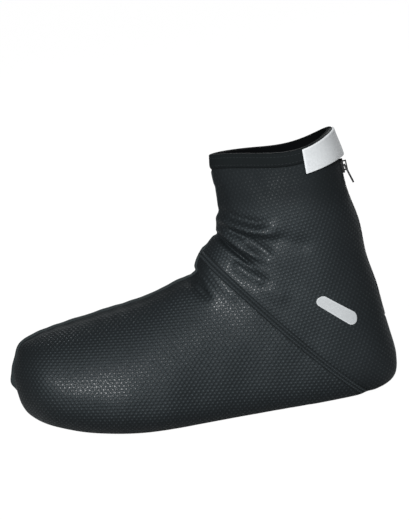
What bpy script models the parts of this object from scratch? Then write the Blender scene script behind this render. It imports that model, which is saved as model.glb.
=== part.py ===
"""Cycling overshoe for a left foot: thin stretch shell, sole panel, raised seams, back zip and closure tab.

Metres, +Z up. The toe points to -X, the outer side of the foot to -Y. The overshoe stands on its sole at z = 0.
The shell is a loft of planar half loops. Each loop hangs between a front point and a back point of the centre
plane: on the foot these are the ridge and the sole, on the shaft they are the shin and the heel cord.
"""

import math
from collections import namedtuple
from functools import lru_cache

import bmesh
import bpy
import numpy as np
from mathutils import Matrix, Vector

# Driving dimensions
FOOT_LENGTH = 0.290
BALL_WIDTH = 0.090
ANKLE_WIDTH = 0.062
NOSE_HEIGHT = 0.051
INSTEP_HEIGHT = 0.110
COLLAR_FRONT_HEIGHT = 0.1948
COLLAR_BACK_HEIGHT = 0.2001

# Cloth and clearances
FABRIC_WALL = 0.002
SOLE_WALL = 0.0025
SEAT_GAP = 0.0003
SEAM_GAP = 0.0005
TAPE_GAP = 0.0007

# Sole panel and its two openings, set back from the nose or from the back of the heel
PANEL_TOE_MARGIN = 0.0215
PANEL_HEEL_MARGIN = 0.0208
PANEL_SHARE = 0.74
PANEL_ROUNDNESS = 2.6
CLEAT_OPENING = (0.062, 0.044)
CLEAT_FROM_NOSE = 0.1095
HEEL_OPENING = (0.038, 0.032)
HEEL_OPENING_FROM_BACK = 0.0528
OPENING_CORNER = 0.013
CUTTER_HEIGHT = 0.020

# Raised seams and hem
RIDGE_WIDTH = 0.003
RIDGE_HEIGHT = 0.0011
NUB_HEIGHT = 0.0018
NUB_LENGTH = 0.009
SEAM_WIDTH = 0.005
SEAM_THICKNESS = 0.0005
SEAM_FOOT_HEIGHT = 0.0035
SEAM_BOW = 0.36
HEM_HEIGHT = 0.010
HEM_THICKNESS = 0.0008

# Closure tab round the back of the collar
TAB_REACH = 0.026
TAB_FRONT_HEIGHT = 0.0185
TAB_BACK_HEIGHT = 0.0215
TAB_THICKNESS = 0.0012

# Plain reflective bar on the outer side of the heel
BAR_LENGTH = 0.034
BAR_WIDTH = 0.009
BAR_THICKNESS = 0.0004
BAR_HEIGHT = 0.068
BAR_FROM_BACK = 0.0388

# Back zip
ZIP_FOOT_HEIGHT = 0.052
ZIP_SLOT_WIDTH = 0.011
SLOT_END_LENGTH = 0.0018
TAPE_THICKNESS = 0.0008
TAPE_DEPTH = 0.0018
COIL_FOOT_MARGIN = 0.0018
COIL_WIDTH = 0.0042
COIL_THICKNESS = 0.0011
SLIDER_TOP_DROP = 0.024
SLIDER_LENGTH = 0.0105
SLIDER_WIDTH = 0.0086
SLIDER_PLATE = 0.0010
SLIDER_CORNER = 0.0019
BRIDGE_LENGTH = 0.0076
BRIDGE_WIDTH = 0.0018
BRIDGE_BAR = 0.0009
BRIDGE_REACH = 0.0026
PULL_LENGTH = 0.0150
PULL_WIDTH = 0.0052
PULL_THICKNESS = 0.0011
PULL_RAIL = 0.0010
PULL_CORNER = 0.0018
PULL_TILT = math.radians(18.0)

# Levels over the shell's outer face, on the zip's centre line
TAPE_FACE = TAPE_THICKNESS - TAPE_DEPTH
COIL_BASE = TAPE_FACE + SEAT_GAP
COIL_FACE = COIL_BASE + COIL_THICKNESS
SLIDER_CEILING = COIL_FACE + SEAT_GAP
SLIDER_FACE = SLIDER_CEILING + SLIDER_PLATE
HINGE_LIFT = SLIDER_FACE + 0.5 * (BRIDGE_REACH - BRIDGE_BAR)

# Mesh density
POINTS_PER_SIDE = 18
DENSE_POINTS = 161
TOE_LOOPS = 8
PANEL_LOOPS = 21
PANEL_POINTS = 7
HEEL_LOOPS = 6
SHAFT_LOOPS = 17

# Steps of the searches and of the slopes taken along the loft, which is counted in rows
SEARCH_STEPS = 40
SLOPE_STEP = 0.02
NOSE_SLOPE_PLACE = 0.25

# Foot sections: ridge_x and sole_x are shares of the foot length, ridge_rise of the height from nose to
# instep, sole_z of the nose height, outer, inner and lean of the ball width.
FootRow = namedtuple(
    "FootRow",
    "name ridge_x ridge_rise sole_x sole_z outer inner widest top_power low_power lean",
)
FOOT_ROWS = (
    FootRow("nose", -0.488, 0.000, -0.488, 1.000, 0.000, 0.000, 0.50, 2.00, 2.00, 0.085),
    FootRow("cap_front", -0.485, 0.144, -0.486, 0.824, 0.125, 0.112, 0.50, 2.00, 2.00, 0.085),
    FootRow("cap_low", -0.474, 0.285, -0.480, 0.625, 0.228, 0.205, 0.54, 2.00, 2.00, 0.082),
    FootRow("cap_back", -0.455, 0.452, -0.461, 0.455, 0.320, 0.292, 0.58, 1.95, 2.10, 0.075),
    FootRow("toe_box", -0.414, 0.541, -0.418, 0.292, 0.425, 0.392, 0.62, 1.90, 2.30, 0.060),
    FootRow("toe_joint", -0.345, 0.619, -0.345, 0.137, 0.485, 0.458, 0.67, 1.80, 2.60, 0.040),
    FootRow("ball_front", -0.269, 0.673, -0.269, 0.045, 0.510, 0.492, 0.70, 1.75, 3.00, 0.022),
    FootRow("ball", -0.190, 0.736, -0.190, -0.012, 0.515, 0.498, 0.72, 1.70, 3.30, 0.006),
    FootRow("waist_front", -0.103, 0.807, -0.103, -0.039, 0.488, 0.455, 0.72, 1.70, 3.40, -0.008),
    FootRow("waist", -0.028, 0.920, -0.017, -0.043, 0.445, 0.402, 0.72, 1.75, 3.40, -0.008),
    FootRow("instep", 0.022, 1.000, 0.086, -0.043, 0.406, 0.362, 0.72, 1.85, 3.40, -0.004),
)

# Shaft sections: front_x and back_x are shares of the foot length, front_rise of the height from instep to
# collar front, back_z and sag of the collar's back height, outer and inner of the ankle width.
ShaftRow = namedtuple(
    "ShaftRow",
    "name front_x front_rise back_x back_z outer inner widest top_power low_power sag",
)
SHAFT_ROWS = (
    ShaftRow("arch_back", 0.0262, 0.061, 0.1966, -0.011, 0.550, 0.500, 0.70, 2.00, 3.60, 0.000),
    ShaftRow("heel_front", 0.0334, 0.120, 0.3034, -0.011, 0.532, 0.500, 0.66, 2.10, 3.90, 0.000),
    ShaftRow("rear_seam", 0.0431, 0.166, 0.4138, 0.001, 0.524, 0.508, 0.62, 2.20, 3.60, 0.000),
    ShaftRow("heel_corner", 0.0586, 0.210, 0.4810, 0.037, 0.516, 0.508, 0.60, 2.30, 3.00, 0.000),
    ShaftRow("heel_back", 0.0776, 0.269, 0.4993, 0.115, 0.516, 0.508, 0.58, 2.30, 2.50, 0.000),
    ShaftRow("heel_top", 0.0924, 0.315, 0.4914, 0.230, 0.508, 0.500, 0.58, 2.20, 2.20, 0.000),
    ShaftRow("cord_low", 0.0983, 0.394, 0.4793, 0.382, 0.500, 0.500, 0.58, 2.10, 2.10, 0.000),
    ShaftRow("cord_high", 0.1066, 0.501, 0.4648, 0.518, 0.500, 0.500, 0.60, 1.95, 2.10, 0.000),
    ShaftRow("shaft_low", 0.1086, 0.614, 0.4590, 0.656, 0.500, 0.500, 0.62, 1.80, 2.10, 0.005),
    ShaftRow("shaft_high", 0.1086, 0.733, 0.4424, 0.776, 0.500, 0.500, 0.66, 1.65, 2.10, 0.015),
    ShaftRow("hem", 0.1069, 0.876, 0.4372, 0.882, 0.500, 0.500, 0.70, 1.45, 2.05, 0.031),
    ShaftRow("collar", 0.1103, 1.000, 0.4270, 1.000, 0.500, 0.500, 0.72, 1.35, 2.00, 0.038),
)

# Ankle folds seen from the side: x from and to are shares of the foot length, z of the collar's front height,
# reach and rise of the ankle width. A positive rise is a ridge, a negative one a trough.
Fold = namedtuple("Fold", "from_x from_z to_x to_z reach rise")
FOLDS = (
    Fold(0.110, 0.789, 0.268, 0.706, 0.110, 0.028),
    Fold(0.100, 0.745, 0.225, 0.650, 0.080, -0.026),
    Fold(0.092, 0.715, 0.180, 0.600, 0.075, -0.030),
    Fold(0.060, 0.620, 0.200, 0.500, 0.120, 0.024),
)

# Colour, roughness and metallic value of each material
FINISHES = {
    "shell_fabric": ((0.018, 0.021, 0.024), 0.78, 0.0),
    "sole_fabric": ((0.012, 0.012, 0.013), 0.70, 0.0),
    "seam_thread": ((0.030, 0.033, 0.036), 0.70, 0.0),
    "zip_tape": ((0.012, 0.012, 0.013), 0.85, 0.0),
    "zip_coil": ((0.015, 0.015, 0.016), 0.40, 0.0),
    "slider_metal": ((0.020, 0.020, 0.021), 0.35, 0.9),
    "reflective_tab": ((0.68, 0.70, 0.71), 0.45, 0.1),
}

Section = namedtuple(
    "Section", "front_x front_z back_x back_z outer inner widest top_power low_power lean sag"
)


def clear_scene():
    """Remove every object of the open scene."""
    for obj in list(bpy.data.objects):
        bpy.data.objects.remove(obj, do_unlink=True)


def foot_section(row):
    """Turn a row of the foot table into metres."""
    return Section(
        front_x=row.ridge_x * FOOT_LENGTH,
        front_z=NOSE_HEIGHT + row.ridge_rise * (INSTEP_HEIGHT - NOSE_HEIGHT),
        back_x=row.sole_x * FOOT_LENGTH,
        back_z=row.sole_z * NOSE_HEIGHT,
        outer=row.outer * BALL_WIDTH,
        inner=row.inner * BALL_WIDTH,
        widest=row.widest,
        top_power=row.top_power,
        low_power=row.low_power,
        lean=row.lean * BALL_WIDTH,
        sag=0.0,
    )


def shaft_section(row):
    """Turn a row of the shaft table into metres."""
    return Section(
        front_x=row.front_x * FOOT_LENGTH,
        front_z=INSTEP_HEIGHT + row.front_rise * (COLLAR_FRONT_HEIGHT - INSTEP_HEIGHT),
        back_x=row.back_x * FOOT_LENGTH,
        back_z=row.back_z * COLLAR_BACK_HEIGHT,
        outer=row.outer * ANKLE_WIDTH,
        inner=row.inner * ANKLE_WIDTH,
        widest=row.widest,
        top_power=row.top_power,
        low_power=row.low_power,
        lean=0.0,
        sag=row.sag * COLLAR_BACK_HEIGHT,
    )


def mirrored_past_nose(section):
    """The section one step past the nose, so that the loft runs smoothly through its pole."""
    return section._replace(
        front_x=section.back_x,
        front_z=section.back_z,
        back_x=section.front_x,
        back_z=section.front_z,
        outer=-section.outer,
        inner=-section.inner,
    )


SECTIONS = [foot_section(row) for row in FOOT_ROWS] + [shaft_section(row) for row in SHAFT_ROWS]
ROW_NAMES = [row.name for row in FOOT_ROWS] + [row.name for row in SHAFT_ROWS]
SECTION_VALUES = np.array([mirrored_past_nose(SECTIONS[1])] + SECTIONS)
LAST = float(len(SECTIONS) - 1)


def station(name):
    """Place of a named row along the loft, counted in rows from the nose."""
    return float(ROW_NAMES.index(name))


NOSE_X = SECTIONS[0].front_x
HEEL_X = SECTIONS[int(station("heel_back"))].back_x


@lru_cache(maxsize=None)
def section_at(place):
    """Smooth section between the rows, by a cubic through the four nearest."""
    place = min(max(place, 0.0), LAST)
    low = min(int(place), len(SECTIONS) - 2)
    t = place - low
    before, here, there = SECTION_VALUES[low], SECTION_VALUES[low + 1], SECTION_VALUES[low + 2]
    if low + 3 < len(SECTION_VALUES):
        after = SECTION_VALUES[low + 3]
    else:
        after = 2.0 * there - here
    cubic = (
        2.0 * here
        + (there - before) * t
        + (2.0 * before - 5.0 * here + 4.0 * there - after) * t**2
        + (3.0 * here - before - 3.0 * there + after) * t**3
    )
    return Section(*(0.5 * cubic))


@lru_cache(maxsize=None)
def half_loop(place, side):
    """Dense points of one half loop, from its front point to its back point, with arc lengths.

    side is -1 for the outer half and 1 for the inner half.
    """
    s = section_at(place)
    angle = np.linspace(0.0, math.pi, DENSE_POINTS)
    front_half = angle <= math.pi / 2
    power = np.where(front_half, s.top_power, s.low_power)
    along = np.abs(np.cos(angle)) ** (2.0 / power)
    down = np.where(front_half, s.widest * (1.0 - along), s.widest + (1.0 - s.widest) * along)
    reach = np.clip(np.sin(angle), 0.0, 1.0) ** (2.0 / power)
    half_width = s.inner if side > 0 else s.outer
    x = s.front_x + down * (s.back_x - s.front_x)
    z = s.front_z + down * (s.back_z - s.front_z)
    z = z - s.sag * np.sin(math.pi * down**1.6)
    y = s.lean + side * half_width * reach
    points = np.column_stack((x, y, np.maximum(z, 0.0)))
    steps = np.linalg.norm(np.diff(points, axis=0), axis=1)
    lengths = np.concatenate(([0.0], np.cumsum(steps)))
    return points, lengths, half_width * reach


def base_point(place, side, share):
    """Point of the unfolded shell at a share of the half loop's length."""
    points, lengths, _ = half_loop(place, side)
    target = share * lengths[-1]
    return np.array([np.interp(target, lengths, points[:, axis]) for axis in range(3)])


def share_at_width(place, side, half_width):
    """Share of the half loop, on its way to the back point, where it is this far from the centre plane."""
    _, lengths, reach = half_loop(place, side)
    peak = int(np.argmax(reach))
    return float(np.interp(-half_width, -reach[peak:], lengths[peak:] / lengths[-1]))


def base_normal(place, side, share):
    """Outward normal of the unfolded shell."""
    place = max(place, NOSE_SLOPE_PLACE)
    share = min(max(share, 0.0), 1.0)
    low, high = max(place - SLOPE_STEP, 0.0), min(place + SLOPE_STEP, LAST)
    along = base_point(high, side, share) - base_point(low, side, share)
    if share < SLOPE_STEP or share > 1.0 - SLOPE_STEP:
        along_y = np.array([0.0, float(side), 0.0])
        around = along_y if share < SLOPE_STEP else -along_y
    else:
        ahead = base_point(place, side, share + SLOPE_STEP)
        around = ahead - base_point(place, side, share - SLOPE_STEP)
    normal = np.cross(around, along) * -side
    return normal / np.linalg.norm(normal)


def fold_rise(point):
    """Height of the ankle folds over the unfolded shell."""
    rise = 0.0
    for fold in FOLDS:
        start = np.array([fold.from_x * FOOT_LENGTH, fold.from_z * COLLAR_FRONT_HEIGHT])
        end = np.array([fold.to_x * FOOT_LENGTH, fold.to_z * COLLAR_FRONT_HEIGHT])
        run = end - start
        offset = np.array([point[0], point[2]]) - start
        share = min(max(float(offset @ run) / float(run @ run), 0.0), 1.0)
        distance = np.linalg.norm(offset - share * run)
        rise += fold.rise * ANKLE_WIDTH * math.exp(-((distance / (fold.reach * ANKLE_WIDTH)) ** 2))
    return rise


def skin(place, side, share, lift=0.0):
    """Point of the folded shell, lifted outwards by lift, that never sinks under the floor."""
    point = base_point(place, side, share)
    normal = base_normal(place, side, share)
    lifted = point + normal * (fold_rise(point) + lift)
    lifted[2] = max(lifted[2], 0.0)
    return lifted


def place_at_height(side, share, height, low_place, high_place):
    """Place along the loft where the shell passes a height, at a fixed share of its half loops."""
    for _ in range(SEARCH_STEPS):
        middle = 0.5 * (low_place + high_place)
        if skin(middle, side, share)[2] < height:
            low_place = middle
        else:
            high_place = middle
    return 0.5 * (low_place + high_place)


def place_at_sole_x(x):
    """Place along the loft whose back point is at x on the sole."""
    low, high = 1.0, station("heel_back")
    for _ in range(SEARCH_STEPS):
        middle = 0.5 * (low + high)
        if section_at(middle).back_x < x:
            low = middle
        else:
            high = middle
    return 0.5 * (low + high)


def part_centre():
    """Middle of the overshoe's outline seen from above, with the nub of the front seam."""
    places = np.linspace(0.0, LAST, 60)
    cloud = np.concatenate([half_loop(p, side)[0] for p in places for side in (-1, 1)])
    low, high = cloud.min(axis=0), cloud.max(axis=0)
    nub_x = SECTIONS[0].front_x - SEAT_GAP - NUB_HEIGHT - RIDGE_HEIGHT
    return 0.5 * (min(low[0], nub_x) + high[0]), 0.5 * (low[1] + high[1])


def zip_place(height):
    """Place along the loft where the back centre line passes a height."""
    return place_at_height(-1, 1.0, height, station("heel_corner"), LAST)


PANEL_FRONT_X = NOSE_X + PANEL_TOE_MARGIN
PANEL_BACK_X = HEEL_X - PANEL_HEEL_MARGIN
PANEL_START = place_at_sole_x(PANEL_FRONT_X)
PANEL_END = place_at_sole_x(PANEL_BACK_X)
ZIP_START = zip_place(ZIP_FOOT_HEIGHT)
ZIP_OPEN = zip_place(ZIP_FOOT_HEIGHT + SLOT_END_LENGTH)
CENTRE_X, CENTRE_Y = part_centre()


def panel_half_width(place):
    """Half width of the shell's opening for the sole panel on a loop, or nothing past its ends."""
    s = section_at(place)
    middle = 0.5 * (PANEL_FRONT_X + PANEL_BACK_X)
    run = abs(s.back_x - middle) / (PANEL_BACK_X - middle)
    if run >= 1.0:
        return 0.0
    rounding = (1.0 - run**PANEL_ROUNDNESS) ** (1.0 / PANEL_ROUNDNESS)
    return PANEL_SHARE * 0.5 * (s.outer + s.inner) * rounding


def opening_half_width(place):
    """Half width of the shell's own opening on a loop: the sole's seat, the zip slot, or nothing."""
    if PANEL_START < place < PANEL_END:
        return panel_half_width(place)
    if place >= ZIP_OPEN:
        return 0.5 * ZIP_SLOT_WIDTH
    return 0.0


def panel_places():
    """Places of the loops that cross the sole panel, closer together towards its two ends."""
    step = np.linspace(0.0, 1.0, PANEL_LOOPS)
    eased = 0.5 * (1.0 - np.cos(math.pi * step))
    mixed = 0.5 * (eased + step)
    x = PANEL_FRONT_X + mixed * (PANEL_BACK_X - PANEL_FRONT_X)
    places = [place_at_sole_x(value) for value in x]
    seam = station("rear_seam")
    if places[0] < seam < places[-1]:
        nearest = min(range(1, PANEL_LOOPS - 1), key=lambda i: abs(places[i] - seam))
        places[nearest] = seam
    return places


def panel_outline():
    """Outline of the sole panel as (x, half width), a clearance inside the edge of the shell's opening."""
    places = panel_places()
    edge = [Vector((section_at(p).back_x, opening_half_width(p))) for p in places]
    mirrored = [edge[1] * Vector((1.0, -1.0))] + edge + [edge[-2] * Vector((1.0, -1.0))]
    outline = []
    for before, here, after in zip(mirrored, mirrored[1:], mirrored[2:]):
        first = (here - before).normalized()
        second = (after - here).normalized()
        inward = Vector((first.y + second.y, -first.x - second.x)).normalized()
        across = inward.dot(Vector((first.y, -first.x)))
        outline.append(here + inward * (SEAT_GAP / across))
    return outline


def shaft_places():
    """Places of the loops from the heel to the collar, with one where the zip slot opens."""
    heel = np.linspace(PANEL_END, ZIP_START, HEEL_LOOPS)[1:]
    upright = np.linspace(ZIP_OPEN, LAST, SHAFT_LOOPS)
    return list(heel) + list(upright)


def toe_places():
    """Places of the loops from the nose to the front of the sole panel."""
    return list(np.linspace(0.0, PANEL_START, TOE_LOOPS))[:-1]


SHELL_PLACES = toe_places() + panel_places() + shaft_places()


def material(name):
    """Principled material with the piece's colour, roughness and metallic value."""
    colour, roughness, metallic = FINISHES[name]
    made = bpy.data.materials.get(name) or bpy.data.materials.new(name)
    made.use_nodes = True
    shader = made.node_tree.nodes["Principled BSDF"]
    shader.inputs["Base Color"].default_value = (*colour, 1.0)
    shader.inputs["Roughness"].default_value = roughness
    shader.inputs["Metallic"].default_value = metallic
    return made


def add_piece(name, bm, finish, collection):
    """Make a named object from a bmesh, in the frame whose origin is under the middle of the shell."""
    mesh = bpy.data.meshes.new(name)
    bm.to_mesh(mesh)
    bm.free()
    mesh.materials.append(material(finish))
    mesh.shade_smooth()
    mesh.set_sharp_from_angle(angle=math.radians(40.0))
    obj = bpy.data.objects.new(name, mesh)
    collection.objects.link(obj)
    return obj


def local(point):
    """Point of the shell in the frame of the finished part."""
    return Vector((point[0] - CENTRE_X, point[1] - CENTRE_Y, point[2]))


def new_wall_vert(bm, pairs, place, side, share, wall):
    """Add one point of a wall's outer face and its partner on the inner face, and note the pair."""
    outer = bm.verts.new(local(skin(place, side, share)))
    pairs[outer] = bm.verts.new(local(skin(place, side, share, -wall)))
    return outer


def close_wall(bm, rings, pairs):
    """Make the outer faces, the inner faces behind them, and the rim along every open edge."""
    used = {(a, b) for ring in rings for a, b in zip(ring, ring[1:] + ring[:1])}
    for ring in rings:
        bm.faces.new(ring)
        bm.faces.new([pairs[vert] for vert in reversed(ring)])
    for a, b in used:
        if (b, a) not in used:
            bm.faces.new((b, a, pairs[a], pairs[b]))


def build_upper(collection):
    """Hollow upper: open at the collar, at the zip slot and underneath, where the sole panel closes it."""
    bm = bmesh.new()
    pairs = {}
    nose = new_wall_vert(bm, pairs, 0.0, -1, 0.0, FABRIC_WALL)
    rows = [{-1: [nose] * (POINTS_PER_SIDE + 1), 1: [nose] * (POINTS_PER_SIDE + 1)}]
    for place in SHELL_PLACES[1:]:
        width = opening_half_width(place)
        row = {-1: [], 1: []}
        for side in (-1, 1):
            end = share_at_width(place, side, width) if width > 0.0 else 1.0
            for j in range(POINTS_PER_SIDE + 1):
                if side == 1 and (j == 0 or (j == POINTS_PER_SIDE and width == 0.0)):
                    row[side].append(row[-1][j])
                else:
                    share = end * j / POINTS_PER_SIDE
                    row[side].append(new_wall_vert(bm, pairs, place, side, share, FABRIC_WALL))
        rows.append(row)
    rings = []
    for first, second in zip(rows, rows[1:]):
        for side in (-1, 1):
            for j in range(POINTS_PER_SIDE):
                corners = (first[side][j], first[side][j + 1], second[side][j + 1], second[side][j])
                ring = list(dict.fromkeys(corners))
                rings.append(ring if side < 0 else ring[::-1])
    close_wall(bm, rings, pairs)
    return add_piece("upper", bm, "shell_fabric", collection)


def loop_middle(place):
    """Point inside the shell, in the middle of a loop."""
    points = np.concatenate((half_loop(place, -1)[0], half_loop(place, 1)[0]))
    return local(0.5 * (points.min(axis=0) + points.max(axis=0)))


def build_patch(name, grid, thickness, inside, finish, collection):
    """Closed strip on a grid of points, with its thickness laid on away from a point inside the shell."""
    bm = bmesh.new()
    verts = [[bm.verts.new(local(point)) for point in row] for row in grid]
    for first, second in zip(verts, verts[1:]):
        for j in range(len(first) - 1):
            bm.faces.new((first[j], first[j + 1], second[j + 1], second[j]))
    bmesh.ops.remove_doubles(bm, verts=bm.verts, dist=1e-6)
    bm.normal_update()
    if sum(face.normal.dot(face.calc_center_median() - inside) for face in bm.faces) < 0.0:
        bmesh.ops.reverse_faces(bm, faces=bm.faces)
    patch = add_piece(name, bm, finish, collection)
    wall = patch.modifiers.new("wall", "SOLIDIFY")
    wall.thickness = thickness
    wall.offset = 1.0
    wall.use_quality_normals = True
    return patch


def add_cutter(name, size, centre, collection):
    """Upright rounded block that cuts an opening through the sole panel."""
    bm = bmesh.new()
    bmesh.ops.create_cube(bm, size=1.0)
    bmesh.ops.scale(bm, vec=(size[0], size[1], CUTTER_HEIGHT), verts=bm.verts)
    upright = [edge for edge in bm.edges if edge.verts[0].co.z * edge.verts[1].co.z < 0.0]
    bmesh.ops.bevel(bm, geom=upright, offset=OPENING_CORNER, segments=5, profile=0.5, affect="EDGES")
    mesh = bpy.data.meshes.new(name)
    bm.to_mesh(mesh)
    bm.free()
    cutter = bpy.data.objects.new(name, mesh)
    cutter.location = local((centre[0], centre[1], 0.0))
    cutter.hide_render = True
    cutter.display_type = "WIRE"
    collection.objects.link(cutter)
    return cutter


def build_sole_panel(collection, cutters):
    """Sole panel that closes the shell underneath, with an opening for the cleat and one at the heel."""
    bm = bmesh.new()
    pairs = {}
    rows = []
    for x, width in panel_outline():
        place = place_at_sole_x(x)
        if width < SEAT_GAP:
            end = new_wall_vert(bm, pairs, place, -1, 1.0, SOLE_WALL)
            rows.append([end] * (2 * PANEL_POINTS - 1))
            continue
        outer = np.linspace(share_at_width(place, -1, width), 1.0, PANEL_POINTS)
        inner = np.linspace(1.0, share_at_width(place, 1, width), PANEL_POINTS)[1:]
        row = [new_wall_vert(bm, pairs, place, -1, share, SOLE_WALL) for share in outer]
        row += [new_wall_vert(bm, pairs, place, 1, share, SOLE_WALL) for share in inner]
        rows.append(row)
    rings = []
    for first, second in zip(rows, rows[1:]):
        for j in range(len(first) - 1):
            corners = (first[j], first[j + 1], second[j + 1], second[j])
            rings.append(list(dict.fromkeys(corners)))
    close_wall(bm, rings, pairs)
    panel = add_piece("sole_panel", bm, "sole_fabric", collection)
    for name, size, x in (
        ("cleat_cutter", CLEAT_OPENING, NOSE_X + CLEAT_FROM_NOSE),
        ("heel_cutter", HEEL_OPENING, HEEL_X - HEEL_OPENING_FROM_BACK),
    ):
        lean = section_at(place_at_sole_x(x)).lean
        cutter = add_cutter(name, size, (x, lean), cutters)
        cut = panel.modifiers.new(name, "BOOLEAN")
        cut.operation = "DIFFERENCE"
        cut.solver = "EXACT"
        cut.object = cutter
    return panel


def build_vamp_seam(collection):
    """Raised seam along the ridge of the foot, from the ankle to a pinched nub at the nose."""
    under_nose = (0.45, 0.30, 0.15)
    at_nose = 0.02
    places = [at_nose] + [p for p in SHELL_PLACES if 0.0 < p <= station("arch_back")]
    path = [(p, 1.0) for p in under_nose] + [(p, 0.0) for p in places]
    nose = skin(at_nose, -1, 0.0)
    grid = []
    for place, share in path:
        centre = skin(place, -1, share)
        normal = base_normal(place, -1, share)
        distance = np.linalg.norm(centre - nose)
        rise = NUB_HEIGHT * math.exp(-((distance / (0.5 * NUB_LENGTH)) ** 2))
        crown = centre + normal * (SEAT_GAP + rise)
        edge = centre + normal * SEAT_GAP
        half = np.array([0.0, 0.5 * RIDGE_WIDTH, 0.0])
        grid.append((edge - half, 0.5 * (edge + crown) - 0.5 * half, crown,
                     0.5 * (edge + crown) + 0.5 * half, edge + half))
    inside = loop_middle(station("ball_front"))
    return build_patch("vamp_seam", grid, RIDGE_HEIGHT, inside, "seam_thread", collection)


def share_at_height(place, side, height):
    """Share of a half loop, on its way to the sole, where the shell passes a height."""
    low, high = 0.3, 1.0
    for _ in range(SEARCH_STEPS):
        middle = 0.5 * (low + high)
        if skin(place, side, middle)[2] > height:
            low = middle
        else:
            high = middle
    return 0.5 * (low + high)


def loop_shares(outer_end, inner_end, count):
    """Signed shares that walk a loop from its outer back end, over the front, to its inner back end."""
    outer = [(-1, share) for share in np.linspace(outer_end, 0.0, count, endpoint=False)]
    return outer + [(1, share) for share in np.linspace(0.0, inner_end, count + 1)]


def loft_stretch(place, side, share):
    """Length of the shell along the loft for each row, at one of its points."""
    ahead = skin(place + SLOPE_STEP, side, share)
    return np.linalg.norm(ahead - skin(place - SLOPE_STEP, side, share)) / (2.0 * SLOPE_STEP)


def build_rear_seam(collection):
    """Flat seam that joins the front panel to the rear panel, from the front of the ankle to the heel."""
    line = station("rear_seam")
    grid = []
    ends = [share_at_height(line, side, SEAM_FOOT_HEIGHT) for side in (-1, 1)]
    for side, share in loop_shares(*ends, POINTS_PER_SIDE):
        place = line - SEAM_BOW * math.sin(math.pi * share)
        half = min(0.5 * SEAM_WIDTH / loft_stretch(place, side, share), 0.5)
        grid.append([skin(place + k * half, side, share, SEAM_GAP) for k in (-1, 0, 1)])
    inside = loop_middle(line)
    return build_patch("rear_seam", grid, SEAM_THICKNESS, inside, "seam_thread", collection)


def rim_step(side, share, depth):
    """Place along the loft that lies this deep under the collar's rim."""
    rim = skin(LAST, side, share)
    low, high = LAST - 3.0, LAST
    for _ in range(SEARCH_STEPS):
        middle = 0.5 * (low + high)
        if np.linalg.norm(skin(middle, side, share) - rim) > depth:
            low = middle
        else:
            high = middle
    return 0.5 * (low + high)


def build_collar_hem(collection):
    """Turned hem round the collar, open at the zip."""
    grid = []
    ends = [share_at_width(LAST, side, 0.5 * ZIP_SLOT_WIDTH + SEAT_GAP) for side in (-1, 1)]
    for side, share in loop_shares(*ends, POINTS_PER_SIDE):
        depths = (HEM_HEIGHT, 0.5 * HEM_HEIGHT, 0.0)
        grid.append([skin(rim_step(side, share, depth), side, share, SEAT_GAP) for depth in depths])
    inside = loop_middle(station("hem"))
    return build_patch("collar_hem", grid, HEM_THICKNESS, inside, "shell_fabric", collection)


def build_closure_tab(collection):
    """Grey tab that wraps the back of the collar from one side to the other, over the top of the zip."""
    lift = 2.0 * SEAT_GAP + HEM_THICKNESS
    back = skin(LAST, -1, 1.0)
    front_x = back[0] - TAB_REACH
    columns = []
    for side in (-1, 1):
        shares = [s for s in np.linspace(0.4, 1.0, 61) if skin(LAST, side, s)[0] >= front_x]
        picked = np.linspace(shares[0], 1.0, 8)
        columns.append([(side, share) for share in picked])
    grid = []
    for side, share in columns[0] + columns[1][-2::-1]:
        rim = skin(LAST, side, share)
        toward_back = (rim[0] - front_x) / TAB_REACH
        height = TAB_FRONT_HEIGHT + toward_back * (TAB_BACK_HEIGHT - TAB_FRONT_HEIGHT)
        depths = np.linspace(height, 0.0, 4)
        grid.append([skin(rim_step(side, share, depth), side, share, lift) for depth in depths])
    inside = loop_middle(station("hem"))
    return build_patch("closure_tab", grid, TAB_THICKNESS, inside, "reflective_tab", collection)


def outer_side_place(x, height):
    """Place and share of the rear panel's outer side at a point seen from the side."""
    low, high = 0.3, 1.0
    for _ in range(SEARCH_STEPS):
        share = 0.5 * (low + high)
        place = place_at_height(-1, share, height, station("rear_seam"), LAST)
        if skin(place, -1, share)[0] < x:
            low = share
        else:
            high = share
    return place, share


def build_reflector(collection):
    """Plain reflective bar with round ends on the outer side of the heel."""
    middle, share = outer_side_place(HEEL_X - BAR_FROM_BACK, BAR_HEIGHT)
    loop_length = half_loop(middle, -1)[1][-1]
    stretch = loft_stretch(middle, -1, share)
    grid = []
    radius = 0.5 * BAR_WIDTH
    straight = 0.5 * BAR_LENGTH - radius
    ends = [straight + radius * math.sin(a) for a in np.linspace(0.0, math.pi / 2, 5)]
    stops = [-e for e in reversed(ends)] + [-straight / 3.0, straight / 3.0] + ends
    narrowest = 0.03 * radius
    for along in stops:
        over = max(abs(along) - straight, 0.0)
        half = max(math.sqrt(max(radius**2 - over**2, 0.0)), narrowest)
        row = []
        for k in (-1.0, -0.5, 0.0, 0.5, 1.0):
            row.append(skin(middle + k * half / stretch, -1, share + along / loop_length, SEAT_GAP))
        grid.append(row)
    inside = loop_middle(middle)
    return build_patch("heel_reflector", grid, BAR_THICKNESS, inside, "reflective_tab", collection)


def back_strip(name, width, first, last, low, thickness, finish, collection):
    """Strip down the back centre line, between two places, from a depth of low upwards."""
    grid = []
    for place in [first] + [p for p in SHELL_PLACES if first < p < last] + [last]:
        centre = skin(place, -1, 1.0)
        normal = base_normal(place, -1, 1.0)
        base = centre + normal * low
        across = np.array([0.0, 0.5 * width, 0.0])
        grid.append((base - across, base, base + across))
    inside = loop_middle(0.5 * (first + last))
    return build_patch(name, grid, thickness, inside, finish, collection)


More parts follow.
